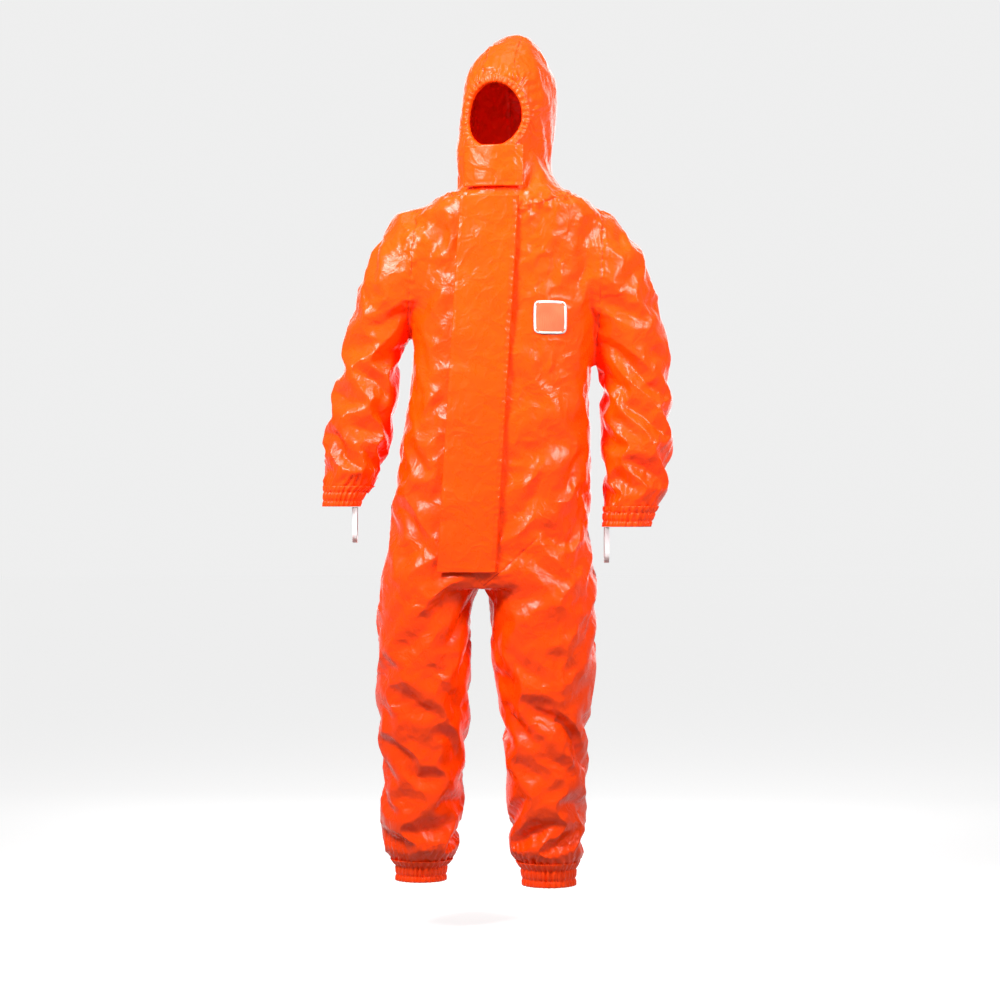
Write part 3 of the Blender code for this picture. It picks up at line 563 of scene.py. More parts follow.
def film_fields(points, normals, areas):
    """How much larger the film is than the form, its skew, and how far it may move in and out."""
    count = len(points)
    x, y, z = points.T
    along, around, inner, outer = (np.full(count, value) for value in LOOSE["body"])
    for field, value in zip((along, around, inner, outer), LOOSE["hood"]):
        field[areas["hood"]] = value
    torso = areas["torso"]
    waist = bump(z, *WAIST_FOLDS)
    along[torso] = (0.026 + 0.020 * (z < -0.35) + 0.045 * waist)[torso]
    around[torso] = (0.030 + 0.020 * waist)[torso]
    for side in ("R", "L"):
        arm, leg = areas["arm_" + side], areas["leg_" + side]
        elbow = bump(z, *ELBOW_FOLDS)
        blouse = bump(z, CUFF_TOP[side] + 0.020, 0.045)
        along[arm] = (0.060 + 0.080 * elbow + 0.130 * blouse)[arm]
        around[arm] = (0.050 + 0.040 * blouse)[arm]
        inner[arm] = LOOSE_IN["arm"]
        knee = bump(z, *KNEE_FOLDS)
        blouse = bump(z, HEM_TOP + 0.035, 0.060)
        along[leg] = (0.048 + 0.040 * knee + 0.150 * blouse)[leg]
        around[leg] = (0.045 + 0.040 * blouse)[leg]
        inner[leg] = LOOSE_IN["leg"]
        beside = (np.abs(x - line_x(side, z)) < 0.035) & (z < -0.30) & (z > -0.72)
        outer[beside] = LOOSE_OUT["between"]
    limbs = areas["arm_R"] | areas["arm_L"] | areas["leg_R"] | areas["leg_L"]
    skew = 0.095 * waves(points, 0.34, 1) * limbs
    skew += 0.030 * waves(points, 0.30, 2) * torso
    crotch = (np.abs(x - CROTCH[0]) < 0.045) & (z < CROTCH[1] + 0.02)
    outer[crotch] = LOOSE_OUT["crotch"]
    shoulders = np.clip((normals[:, 2] - 0.25) / 0.4, 0.0, 1.0) * (z > -0.25)
    inner = inner * (1.0 - shoulders) + LOOSE_IN["shoulder"] * shoulders
    across = x - LEAN * z - FLAP_SEWN_X
    under_flap = (y < 0.0) & torso & (across > -FLAP_WIDTH - 0.01) & (across < 0.012)
    outer[under_flap] = LOOSE_OUT["flap"]
    inner[under_flap] = LOOSE_IN["flap"]
    outer[under_chin(points) > 0.5] = LOOSE_OUT["chin"]
    return along, around, skew, inner, outer


def under_chin(points):
    """1 where the chin flap covers the hood and neck, 0 elsewhere."""
    x, y, z = in_hood(points).T
    covered = (y < 0.0) & (x > CHIN_FLAP_X[0] - CHIN_MARGIN) & (x < CHIN_FLAP_X[1] + CHIN_MARGIN)
    return (covered & (z > CHIN_FLAP_Z[0] - CHIN_MARGIN) & (z < CHIN_FLAP_Z[1] + 0.004)).astype(float)


def chin_recess(points):
    """How far the film lies back behind the low part of the chin flap, so that the hood can nod."""
    x = in_hood(points)[:, 0]
    z = points[:, 2]
    beside = np.minimum(x - CHIN_FLAP_X[0], CHIN_FLAP_X[1] - x)
    share = np.clip(1.0 + beside / CHIN_MARGIN, 0.0, 1.0) * np.clip((0.088 - z) / 0.030, 0.0, 1.0)
    share *= np.clip((z + 0.018) / 0.014, 0.0, 1.0) * (points[:, 1] < 0.0)
    return CHIN_RECESS * share


def film_held(points, areas):
    """Where the film is sewn to something that keeps its size."""
    x, y, z = points.T
    held = (np.abs(x - LEAN * z - ZIP_X) < 0.016) & (y < 0.0) & areas["torso"]
    held |= face_radius(points) < 1.28
    for side in ("R", "L"):
        held |= areas["arm_" + side] & (z < CUFF_TOP[side] + 0.006)
    held |= z < HEM_TOP + 0.006
    return held


def across_edges(quads):
    """For each face's four edges, the same edge seen from the face beyond it, or -1 at a border."""
    tails = quads.ravel().astype(np.int64)
    heads = np.roll(quads, -1, axis=1).ravel().astype(np.int64)
    span = tails.max() + 1
    key, back = tails * span + heads, heads * span + tails
    order = np.argsort(key)
    spot = np.minimum(np.searchsorted(key[order], back), len(key) - 1)
    return np.where(key[order][spot] == back, order[spot], -1)


def straight_pairs(quads, hops):
    """Pairs of points that lie hops edges apart along the cloth's grid lines."""
    tails, heads = quads.ravel(), np.roll(quads, -1, axis=1).ravel()
    number = np.arange(len(tails))
    following = number // 4 * 4 + (number % 4 + 1) % 4
    beyond = across_edges(quads)[following]
    onward = np.where(beyond >= 0, following[beyond], -1)
    edge = number
    for _ in range(hops - 1):
        edge = np.where(edge >= 0, onward[edge], -1)
    good = edge >= 0
    pairs = np.stack([tails[good], heads[edge[good]]], axis=1)
    pairs = np.unique(np.sort(pairs, axis=1), axis=0)
    return pairs[pairs[:, 0] != pairs[:, 1]]


def independent_groups(pairs, count):
    """The pairs in groups in which no point comes twice."""
    used = [0] * count
    group = np.empty(len(pairs), int)
    for i, (a, b) in enumerate(pairs.tolist()):
        free = ~(used[a] | used[b])
        bit = free & -free
        used[a] |= bit
        used[b] |= bit
        group[i] = bit.bit_length() - 1
    return [np.nonzero(group == g)[0] for g in range(group.max() + 1)]


def relaxed(points, quads, normals, areas):
    """The film after it has buckled over the wearer."""
    along, around, skew, inner, outer = film_fields(points, normals, areas)
    fields = smoothed(np.stack([along, around, skew, inner, outer], axis=1), quads, 6)
    along, around, skew, inner, outer = fields.T
    axis = limb_axis(points, areas)
    free = 1.0 - film_held(points, areas)
    diagonals = np.unique(np.sort(np.concatenate([quads[:, [0, 2]], quads[:, [1, 3]]]), axis=1), axis=0)
    kinds = [(straight_pairs(quads, 1), 1.0), (diagonals, 0.6), (straight_pairs(quads, 2), BEND),
             (straight_pairs(quads, LONG_HOPS), LONG_BEND)]
    pairs = np.concatenate([kind for kind, _ in kinds])
    firmness = np.concatenate([np.full(len(kind), firm) for kind, firm in kinds])
    brief = np.arange(len(pairs)) >= len(pairs) - len(kinds[-1][0])
    a, b = pairs.T
    span = points[b] - points[a]
    way = axis[a] + axis[b]
    way /= np.linalg.norm(way, axis=1)[:, None]
    out = normals[a] + normals[b]
    round_way = np.cross(way, out)
    round_way /= np.maximum(np.linalg.norm(round_way, axis=1), 1e-9)[:, None]
    lengthwise = (span * way).sum(axis=1)
    crosswise = (span * round_way).sum(axis=1)
    rest_of_it = np.maximum((span ** 2).sum(axis=1) - lengthwise ** 2 - crosswise ** 2, 0.0)
    grow_along = 0.5 * (along[a] + along[b])
    grow_around = 0.5 * (around[a] + around[b])
    lean = 0.5 * (skew[a] + skew[b])
    rest = np.sqrt((lengthwise * (1.0 + grow_along)) ** 2
                   + (crosswise * (1.0 + grow_around) + lean * lengthwise) ** 2 + rest_of_it)
    share_a = free[a] / np.maximum(free[a] + free[b], 1.0)
    share_b = free[b] / np.maximum(free[a] + free[b], 1.0)
    groups = []
    for kept in (np.nonzero(~brief)[0], np.nonzero(brief)[0]):
        for index in independent_groups(pairs[kept], len(points)):
            index = kept[index]
            groups.append((a[index], b[index], rest[index], (firmness * share_a)[index],
                           (firmness * share_b)[index], bool(brief[index[0]])))
    ripple = 0.0014 * waves(points, 0.075, 3) + 0.0008 * waves(points, 0.035, 4)
    place = points + normals * (ripple * free)[:, None]
    speed = np.zeros_like(place)
    for step in range(STEPS):
        before = place.copy()
        place = place + speed * DAMPING + (points - place) * (ANCHOR * free)[:, None]
        for _ in range(SWEEPS):
            for i, j, length, move_i, move_j, only_early in groups:
                if only_early and step >= STEPS - SETTLE:
                    continue
                gap = place[j] - place[i]
                size = np.sqrt(np.einsum("ij,ij->i", gap, gap))
                pull = gap * ((size - length) / size)[:, None]
                place[i] += pull * move_i[:, None]
                place[j] -= pull * move_j[:, None]
            proud = np.einsum("ij,ij->i", place - points, normals)
            place += normals * (np.clip(proud, -inner, outer) - proud)[:, None]
        speed = place - before
    return place


def creased(place, quads):
    """The cloth flattened between its folds, so that they become creases."""
    beyond = across_edges(quads).reshape(-1, 4)
    own = np.arange(len(quads))[:, None]
    neighbours = np.where(beyond >= 0, beyond // 4, own)
    share = np.maximum(np.bincount(quads.ravel(), minlength=len(place)), 1)
    for _ in range(2):
        a, b, c, d = (place[quads[:, k]] for k in range(4))
        facing = np.cross(c - a, d - b)
        facing /= np.maximum(np.linalg.norm(facing, axis=1), 1e-12)[:, None]
        for _ in range(FACET_PASSES):
            total = facing.copy()
            for k in range(4):
                other = facing[neighbours[:, k]]
                turn = np.linalg.norm(other - facing, axis=1)
                total += other * np.exp(-(turn / FACET_TURN) ** 2)[:, None]
            facing = total / np.linalg.norm(total, axis=1)[:, None]
        for _ in range(FACET_PASSES):
            middle = place[quads].mean(axis=1)
            move = np.zeros_like(place)
            for k in range(4):
                away = np.einsum("ij,ij->i", facing, middle - place[quads[:, k]])[:, None] * facing
                for column in range(3):
                    move[:, column] += np.bincount(quads[:, k], away[:, column], len(place))
            place = place + move / share[:, None]
    return place


# ================================================================ detail on the relaxed film
def pleats(points, heights, middles, end, reach, count, seed):
    """Pleats round a limb that fade out over reach above its gathered end.

    middles are the x and the y of the limb's middle at heights.
    """
    x, y, z = points.T
    middle_x, middle_y = (np.interp(z, heights, middle) for middle in middles)
    turn = np.arctan2(y - middle_y, x - middle_x) + 0.10 * waves(points, 0.06, seed)
    return np.exp(-np.maximum(z - end, 0.0) / reach) * np.cos(count * turn)


def gathers(points, areas):
    """Height of the fine pleats beside the elastics and of the puckers beside the seams."""
    x, y, z = points.T
    height = np.zeros(len(points))
    uneven = 1.0 + 0.5 * waves(points, 0.05, 11)
    for side in ("R", "L"):
        rows = np.array(SLEEVES[side])[::-1]
        arm = pleats(points, rows[:, 2], rows[:, :2].T, CUFF_TOP[side], 0.030, 22, 12)
        height += areas["arm_" + side] * 0.0024 * uneven * arm
        rows = np.array(LEGS[side])[::-1]
        middles = (rows[:, 1], 0.5 * (rows[:, 3] + rows[:, 4]))
        leg = pleats(points, rows[:, 0], middles, HEM_TOP, 0.034, 28, 13)
        height += areas["leg_" + side] * 0.0026 * uneven * leg
    waist = bump(z, WAIST_Z, 0.028) * np.clip((y + 0.03) / 0.05, 0.0, 1.0) * areas["torso"]
    height += 0.0026 * waist * uneven * np.cos(2.0 * math.pi * x / 0.019 + 0.8 * waves(points, 0.07, 14))
    height -= 0.0050 * waist * bump(z, WAIST_Z, 0.014)
    local = in_hood(points)
    turn = np.arctan2(local[:, 2] - FACE_CENTRE[1], local[:, 0] - FACE_CENTRE[0])
    radius = face_radius(points)
    fade = np.exp(-np.maximum(radius - 1.15, 0.0) / 0.35)
    turn = turn + 0.08 * waves(points, 0.05, 15)
    height += 0.0029 * fade * (radius < 8.0) * uneven * np.cos(30 * turn)
    seam = seam_distance(points, areas)
    neck = np.where(areas["torso"] | areas["hood"], line_distance(x, z, NECK_LINE), FAR)
    height += 0.0007 * np.exp(-seam / 0.014) * waves(points, 0.017, 16)
    height += 0.0022 * np.exp(-neck / 0.020) * waves(points, 0.020, 17)
    height += 0.0008 * bump(seam, 0.0045, 0.0035) - 0.0009 * bump(seam, 0.0, 0.0030)
    return height * (1.0 - under_chin(points))


def crumple(points, areas):
    """Height of the sharp small creases that stiff film keeps."""
    strength = 0.6 + 0.4 * np.clip(waves(points, 0.16, 21), -1.0, 1.0)
    strength = np.where(areas["hood"], 0.55 * strength, strength)
    stretched = (1.0, 1.0, 0.75)
    broad = -np.abs(waves(points, 0.110, 22, squeeze=stretched)) * 0.0022
    fine = -np.abs(waves(points, 0.052, 23)) * 0.0014 + np.abs(waves(points, 0.044, 24)) * 0.0008
    return strength * (broad + fine) * (1.0 - under_chin(points))


def film_surface():
    """The finished film."""
    rest, quads = rounded_body()
    areas = regions(rest)
    x, _, z = rest.T
    keep = face_radius(rest) > 1.0 + 0.30 * FACE_HEM / FACE_HALF[0]
    for side in ("R", "L"):
        keep &= ~(areas["arm_" + side] & (z < CUFF_TOP[side] - FILM_TUCK))
    low_x, high_x, low_z = BELOW_LEFT_CUFF
    keep &= ~((x > low_x) & (x < high_x) & (z < CUFF_TOP["L"] - FILM_TUCK) & (z > low_z))
    keep &= z > HEM_TOP - FILM_TUCK
    quads = quads[keep[quads].all(axis=1)]
    used = np.unique(quads)
    number = np.full(len(rest), -1)
    number[used] = np.arange(len(used))
    rest, quads = rest[used], number[quads]
    areas = regions(rest)
    normals = vertex_normals(rest, quads)
    place = creased(relaxed(rest, quads, normals, areas), quads)
    fine_rest, fine_quads = subdivided(rest, quads)
    place, fine_quads = subdivided(place, quads)
    areas = regions(fine_rest)
    place += SHARPEN * (place - smoothed(place, fine_quads, 5))
    normals = vertex_normals(place, fine_quads)
    place += normals * (gathers(fine_rest, areas) + crumple(fine_rest, areas))[:, None]
    place[:, 1] += chin_recess(fine_rest)
    return Film(place, fine_quads, vertex_normals(place, fine_quads), fine_rest, areas)


def film_piece(name, film, mask, look, seam):
    """One piece of the film: the faces whose first corner lies in mask."""
    place, quads, normals, rest, _ = film
    chosen = quads[mask[quads[:, 0]]]
    used = np.unique(chosen)
    number = np.full(len(place), -1)
    number[used] = np.arange(len(used))
    mesh = mesh_of(name, place[used], number[chosen])
    set_attribute(mesh, "seam", "FLOAT", seam[used])
    set_attribute(mesh, "rest", "FLOAT_VECTOR", rest[used])
    smooth_shaded(mesh, look)
    mesh.normals_split_custom_set_from_vertices(normals[used].tolist())
    item = linked(name, mesh)
    return item


# ================================================================ materials
def shader_tree(name):
    """A new material, its nodes, its links and its Principled shader."""
    look = bpy.data.materials.new(name)
    look.use_nodes = True
    return look, look.node_tree.nodes, look.node_tree.links, look.node_tree.nodes["Principled BSDF"]


def add(nodes, kind, **values):
    """A node with these inputs or properties set."""
    node = nodes.new(kind)
    for key, value in values.items():
        if key in node.inputs:
            node.inputs[key].default_value = value
        else:
            setattr(node, key, value)
    return node


def maths(nodes, links, operation, first, second, clamp=False):
    """The output of a maths node on two sockets or numbers."""
    node = nodes.new("ShaderNodeMath")
    node.operation = operation
    node.use_clamp = clamp
    for socket, value in zip(node.inputs, (first, second)):
        if isinstance(value, (int, float)):
            socket.default_value = value
        else:
            links.new(value, socket)
    return node.outputs[0]


def mixed(nodes, links, factor, first, second):
    """A colour between two, by factor."""
    node = nodes.new("ShaderNodeMix")
    node.data_type = "RGBA"
    links.new(factor, node.inputs["Factor"])
    for socket, value in ((node.inputs["A"], first), (node.inputs["B"], second)):
        if isinstance(value, tuple):
            socket.default_value = (*value, 1.0)
        else:
            links.new(value, socket)
    return node.outputs["Result"]


def weighted_sum(nodes, links, terms):
    """The sum of sockets, each times a number."""
    total = None
    for socket, share in terms:
        part = maths(nodes, links, "MULTIPLY", socket, share)
        total = part if total is None else maths(nodes, links, "ADD", total, part)
    return total


def textures(nodes, links, place, kind, *settings):
    """Texture nodes of one kind on the same coordinates."""
    made = [add(nodes, kind, **values) for values in settings]
    for node in made:
        links.new(place, node.inputs["Vector"])
    return made


def set_relief(nodes, links, shader, height, strength, distance):
    """Gives a shader a bump from a height."""
    relief = add(nodes, "ShaderNodeBump", Strength=strength, Distance=distance)
    links.new(height, relief.inputs["Height"])
    links.new(relief.outputs["Normal"], shader.inputs["Normal"])


def set_roughness(nodes, links, shader, factor, low, high):
    """Gives a shader a roughness from low to high, by factor."""
    spread = add(nodes, "ShaderNodeMapRange")
    spread.inputs["To Min"].default_value = low
    spread.inputs["To Max"].default_value = high
    links.new(factor, spread.inputs["Value"])
    links.new(spread.outputs["Result"], shader.inputs["Roughness"])


def film_material(name="coated_film", colour=(0.99, 0.064, 0.0004), deep=(0.96, 0.040, 0.0002)):
    """Glossy orange film: crumple creases, fine wrinkles, taped seams with painted shade along their grooves,
    and a faint mottle.
    """
    look, nodes, wires, shader = shader_tree(name)
    spot = add(nodes, "ShaderNodeAttribute", attribute_name="rest").outputs["Vector"]
    seam = add(nodes, "ShaderNodeAttribute", attribute_name="seam").outputs["Fac"]
    mottle, warp, ridges = textures(
        nodes, wires, spot, "ShaderNodeTexNoise", {"Scale": 9.0, "Detail": 4.0, "Roughness": 0.6},
        {"Scale": 14.0, "Detail": 2.0}, {"Scale": 60.0, "Detail": 5.0, "Roughness": 0.62, "Distortion": 0.6})
    bent = add(nodes, "ShaderNodeMix", data_type="VECTOR")
    bent.inputs["Factor"].default_value = 0.12
    wires.new(spot, bent.inputs[4])
    wires.new(warp.outputs["Color"], bent.inputs[5])
    cells, small = textures(nodes, wires, bent.outputs[1], "ShaderNodeTexVoronoi",
                            {"Scale": 30.0, "feature": "F1"}, {"Scale": 95.0, "feature": "F1"})
    groove_and_shade = maths(nodes, wires, "MULTIPLY", seam, 1.0 / SEAM_GROOVE_AND_SHADE)
    groove_and_shade = maths(nodes, wires, "MINIMUM", groove_and_shade, 1.0)
    height = weighted_sum(nodes, wires, [(cells.outputs["Distance"], 1.35), (small.outputs["Distance"], 0.30),
                                         (ridges.outputs[0], 0.20), (groove_and_shade, 0.30)])
    set_relief(nodes, wires, shader, height, 0.46, 0.004)
    tint = mixed(nodes, wires, mottle.outputs[0], deep, colour)
    # painted shade: the film turns dark red in the groove along each seam
    tint = mixed(nodes, wires, groove_and_shade, (0.60, 0.012, 0.0002), tint)
    wires.new(tint, shader.inputs["Base Color"])
    set_roughness(nodes, wires, shader, ridges.outputs[0], 0.18, 0.40)
    shader.inputs["Specular IOR Level"].default_value = FILM_GLOSS
    return look


def plain_film(name, scale):
    """The same film where it is gathered or hidden: fine wrinkles in the object's own coordinates, with
    painted shade in their hollows.
    """
    look, nodes, wires, shader = shader_tree(name)
    spot = add(nodes, "ShaderNodeTexCoord").outputs["Object"]
    wrinkles = add(nodes, "ShaderNodeTexNoise", Scale=scale, Detail=5.0, Roughness=0.6, Distortion=0.5)
    wires.new(spot, wrinkles.inputs["Vector"])
    set_relief(nodes, wires, shader, wrinkles.outputs[0], 0.35, 0.002)
    # painted shade: the colour darkens to a deeper red where the wrinkles are low, in their hollows
    tint = mixed(nodes, wires, wrinkles.outputs[0], (0.94, 0.036, 0.0002), (0.99, 0.066, 0.0004))
    wires.new(tint, shader.inputs["Base Color"])
    shader.inputs["Roughness"].default_value = 0.36
    shader.inputs["Specular IOR Level"].default_value = FILM_GLOSS
    return look


def woven_material(name, colour, dark, scale, roughness, ribs=(1.0, 1.0, 1.0)):
    """Woven or knitted band: crossing threads, from waves in the object's own coordinates, with painted shade
    between them.
    """
    look, nodes, wires, shader = shader_tree(name)
    spot = add(nodes, "ShaderNodeTexCoord").outputs["Object"]
    terms = []
    for direction, share in zip("XYZ", ribs):
        threads = add(nodes, "ShaderNodeTexWave", Scale=scale, Distortion=0.4, bands_direction=direction)
        wires.new(spot, threads.inputs["Vector"])
        terms.append((threads.outputs["Fac"], share / 3.0))
    fuzz = add(nodes, "ShaderNodeTexNoise", Scale=900.0, Detail=3.0)
    wires.new(spot, fuzz.inputs["Vector"])
    height = weighted_sum(nodes, wires, terms + [(fuzz.outputs[0], 0.3)])
    set_relief(nodes, wires, shader, height, 0.6, 0.0006)
    # painted shade: the colour goes to the dark one where the weave is low, between the threads
    wires.new(mixed(nodes, wires, height, dark, colour), shader.inputs["Base Color"])
    shader.inputs["Roughness"].default_value = roughness
    shader.inputs["Sheen Weight"].default_value = 0.3
    return look


def plastic_material(name, colour, dark, roughness):
    """Moulded plastic with a faint grain and worn, lighter spots."""
    look, nodes, wires, shader = shader_tree(name)
    spot = add(nodes, "ShaderNodeTexCoord").outputs["Object"]
    grain, wear = textures(nodes, wires, spot, "ShaderNodeTexNoise",
                           {"Scale": 700.0, "Detail": 4.0}, {"Scale": 60.0, "Detail": 3.0})
    set_relief(nodes, wires, shader, grain.outputs[0], 0.25, 0.0003)
    wires.new(mixed(nodes, wires, wear.outputs[0], dark, colour), shader.inputs["Base Color"])
    set_roughness(nodes, wires, shader, wear.outputs[0], roughness - 0.08, roughness + 0.10)
    return look


# ================================================================ hem rings
def gathered_ring(name, curve, inward, rows, pleats, depth, look, seed):
    """A gathered elastic hem: curve(turn, row) gives a point, inward(turn) the way in, for row 0 to 1."""
    around = 14 * pleats
    verts = []
    for row in rows:
        for k in range(around):
            turn = 2.0 * math.pi * k / around
            spot = Vector(curve(turn, row))
            wander = 0.35 * math.sin(5.0 * turn + seed) + 0.25 * math.sin(11.0 * turn + 2.0 * seed + row)
            pleat = math.cos(pleats * turn + 1.6 * wander)
            pleat = math.copysign(abs(pleat) ** 0.8, pleat) * (0.75 + 0.5 * wander)
            edge = math.sin(math.pi * min(max(row, 0.0), 1.0))
            verts.append(spot - Vector(inward(turn)) * (depth * pleat * (0.55 + 0.45 * edge)))
    mesh = thickened(name, verts, grid_faces(len(rows), around, closed=True), CLOTH_THICKNESS)
    ring = linked(name, smooth_shaded(mesh, look))
    return ring


def station(rows, column, z):
    """The row of a station table at height z, by straight interpolation."""
    table = np.array(rows)[::-1]
    return [float(np.interp(z, table[:, column], table[:, k])) for k in range(table.shape[1])]


def film_end(film, area, z):
    """Middle x, middle y, half width and half depth of the worn film at height z."""
    place = film.place[film.areas[area] & (np.abs(film.rest[:, 2] - z) < 0.008)]
    low, high = place.min(axis=0), place.max(axis=0)
    return np.array([0.5 * (low[0] + high[0]), 0.5 * (low[1] + high[1]),
                     0.5 * (high[0] - low[0]), 0.5 * (high[1] - low[1])])


def stitched(row, lines, width=0.05):
    """How far a row of stitching pulls the hem in, from 0 to 1."""
    return max(bump(row, line, width) for line in lines)


def hem_ring(name, section, fitted, top, bottom, pleats, depth, look):
    """A gathered hem from the film's end at top down to bottom; section(z) is the elastic's own size."""
    offset = fitted - np.array(section(top))

    def curve(turn, row):
        z = top + (bottom - top) * row
        fit = max(1.0 - 1.6 * row, 0.0)
        x, y, half_width, half_depth = np.array(section(z)) + offset * fit * fit
        size = 1.01 - 0.05 * stitched(row, STITCH_ROWS, 0.06) + 0.03 * row ** 4
        return (x + half_width * size * math.cos(turn), y + half_depth * size * math.sin(turn), z)

    def inward(turn):
        return (-math.cos(turn), -math.sin(turn), 0.0)

    rows = [k / 18 for k in range(19)]
    return gathered_ring(name, curve, inward, rows, pleats, depth, look, 3.0)


def cuff_ring(side, film, look):
    """The wrist hem, from the sleeve down to its edge."""
    top, bottom = CUFF_TOP[side] + 0.004, CUFF_BOTTOM[side] + 0.0015

    def section(z):
        x, y, _, half_width, half_depth = station(SLEEVES[side], 2, z)
        return x, y, half_width, half_depth

    fitted = film_end(film, "arm_" + side, CUFF_TOP[side])
    return hem_ring("cuff_" + SIDE_NAME[side], section, fitted, top, bottom, 26, 0.0022, look)


def ankle_ring(side, film, look):
    """The ankle hem, from the leg down to its edge."""
    top, bottom = HEM_TOP + 0.004, HEM_BOTTOM[side] + 0.0015

    def section(z):
        _, x, half_width, front, back = station(LEGS[side], 0, z)
        return x, 0.5 * (front + back), half_width, 0.5 * (back - front)

    fitted = film_end(film, "leg_" + side, HEM_TOP)
    return hem_ring("ankle_hem_ring_" + SIDE_NAME[side], section, fitted, top, bottom, 32, 0.0024, look)


def face_ring(film, look):
    """The gathered hem round the face opening, which follows the hood's surface."""
    local = in_hood(film.rest)
    front = local[(local[:, 1] < 0.0) & film.areas["hood"]]
    turn_back = hood_frame()

    def hood_y(x, z):
        away = (front[:, 0] - x) ** 2 + (front[:, 2] - z) ** 2
        nearest = np.argpartition(away, 6)[:6]
        return float(front[nearest, 1].mean())

    def curve(turn, row):
        grow = FACE_HEM * (1.05 - 1.05 * row)
        x = FACE_CENTRE[0] + (FACE_HALF[0] + grow) * math.cos(turn)
        z = FACE_CENTRE[1] + (FACE_HALF[1] + grow) * math.sin(turn)
        outer_x = FACE_CENTRE[0] + (FACE_HALF[0] + 0.008) * math.cos(turn)
        outer_z = FACE_CENTRE[1] + (FACE_HALF[1] + 0.008) * math.sin(turn)
        y = hood_y(0.5 * (x + outer_x), 0.5 * (z + outer_z))
        roll = 0.0025 * math.sin(math.pi * row) + 0.006 * max(row - 0.85, 0.0) / 0.15
        return turn_back @ Vector((x, y - 0.0016 + roll * (1.0 if row > 0.85 else -0.4), z))

    def inward(turn):
        return turn_back.to_3x3() @ Vector((-0.35 * math.cos(turn), 0.9, -0.35 * math.sin(turn)))

    rows = [k / 14 for k in range(15)]
    return gathered_ring("face_hem_ring", curve, inward, rows, 38, 0.0015, look, 2.0)


# ================================================================ flaps
def flap_sheet(name, across, heights, shift, ripple, look, place=None):
    """A sheet of cloth: across lists (x, y), heights run down, ripple(u, v) moves it along y."""
    verts = []
    for i, z in enumerate(heights):
        v = i / (len(heights) - 1)
        for k, (x, y) in enumerate(across):
            u = k / (len(across) - 1)
            verts.append(Vector((x + shift(z), y + ripple(u, v), z)))
    if place:
        verts = [place @ p for p in verts]
    mesh = thickened(name, verts, grid_faces(len(heights), len(across)), CLOTH_THICKNESS)
    set_attribute(mesh, "rest", "FLOAT_VECTOR", [v.co for v in mesh.vertices])
    set_attribute(mesh, "seam", "FLOAT", np.ones(len(mesh.vertices)))
    item = linked(name, smooth_shaded(mesh, look))
    return item


def smooth_wave(value, seed, count=5):
    """A seeded wavy line of value from about 0 to 1."""
    rng = np.random.default_rng(SEED * 100 + seed)
    rates = rng.uniform(1.5, 9.0, count)
    phases = rng.uniform(0.0, 6.28, count)
    return float(np.sin(2.0 * math.pi * rates * value + phases).sum() / count)


def storm_flap(look):
    """The long flap over the zip, sewn down its left edge and slightly wavy at its free edge."""
    steps = 48
    across = []
    for k in range(steps + 1):
        share = 1.0 - k / steps
        across.append((FLAP_SEWN_X - FLAP_WIDTH * share, FLAP_Y + FLAP_INSET + FLAP_SAG * share ** 2))
    heights = [FLAP_TOP + (FLAP_BOTTOM - FLAP_TOP) * k / 300 for k in range(301)]

    def ripple(u, v):
        free = 1.0 - u
        wave = -0.0018 * (1.0 + smooth_wave(v, 1)) * free ** 1.5
        wave -= 0.0010 * (1.0 + smooth_wave(v + 0.22 * u, 2, 7)) * free
        pucker = 0.0007 * math.sin(2.0 * math.pi * FLAP_PUCKERS * v + 2.0 * smooth_wave(v, 3))
        pucker *= math.exp(-free / 0.06)
        hem = -0.0007 * bump(u, 0.055, 0.02) - 0.0003 * bump(u, 0.10, 0.012)
        stitches = 0.0009 * bump(u, 0.945, 0.012)
        sewn = 0.0036 * min(max((u - 0.90) / 0.10, 0.0), 1.0) ** 2
        return wave + pucker + hem + stitches + sewn

    flap = flap_sheet("storm_flap_cloth", across, heights, lambda z: LEAN * z, ripple, look)
    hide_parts("storm_flap")
    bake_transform(flap)
    return flap


def chin_flap(look):
    """The small flap that closes across the chin."""
    steps, rows = 40, 30
    width = CHIN_FLAP_X[1] - CHIN_FLAP_X[0]
    across = []
    for k in range(steps + 1):
        x = CHIN_FLAP_X[0] + width * k / steps
        across.append((x, CHIN_FLAP_CREST[1] + FLAP_INSET + CHIN_FLAP_CURVE * (x - CHIN_FLAP_CREST[0]) ** 2))
    heights = [CHIN_FLAP_Z[1] + (CHIN_FLAP_Z[0] - CHIN_FLAP_Z[1]) * k / rows for k in range(rows + 1)]

    def ripple(u, v):
        wave = 0.0010 * smooth_wave(0.5 * u + 0.3 * v, 5)
        hem = 0.0008 * bump(u, 0.90, 0.018) + 0.0008 * bump(v, 0.90, 0.03)
        return wave + hem

    flap = flap_sheet("chin_flap_cloth", across, heights, lambda z: 0.0, ripple, look, hood_frame())
    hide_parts("chin_flap")
    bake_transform(flap)
    return flap


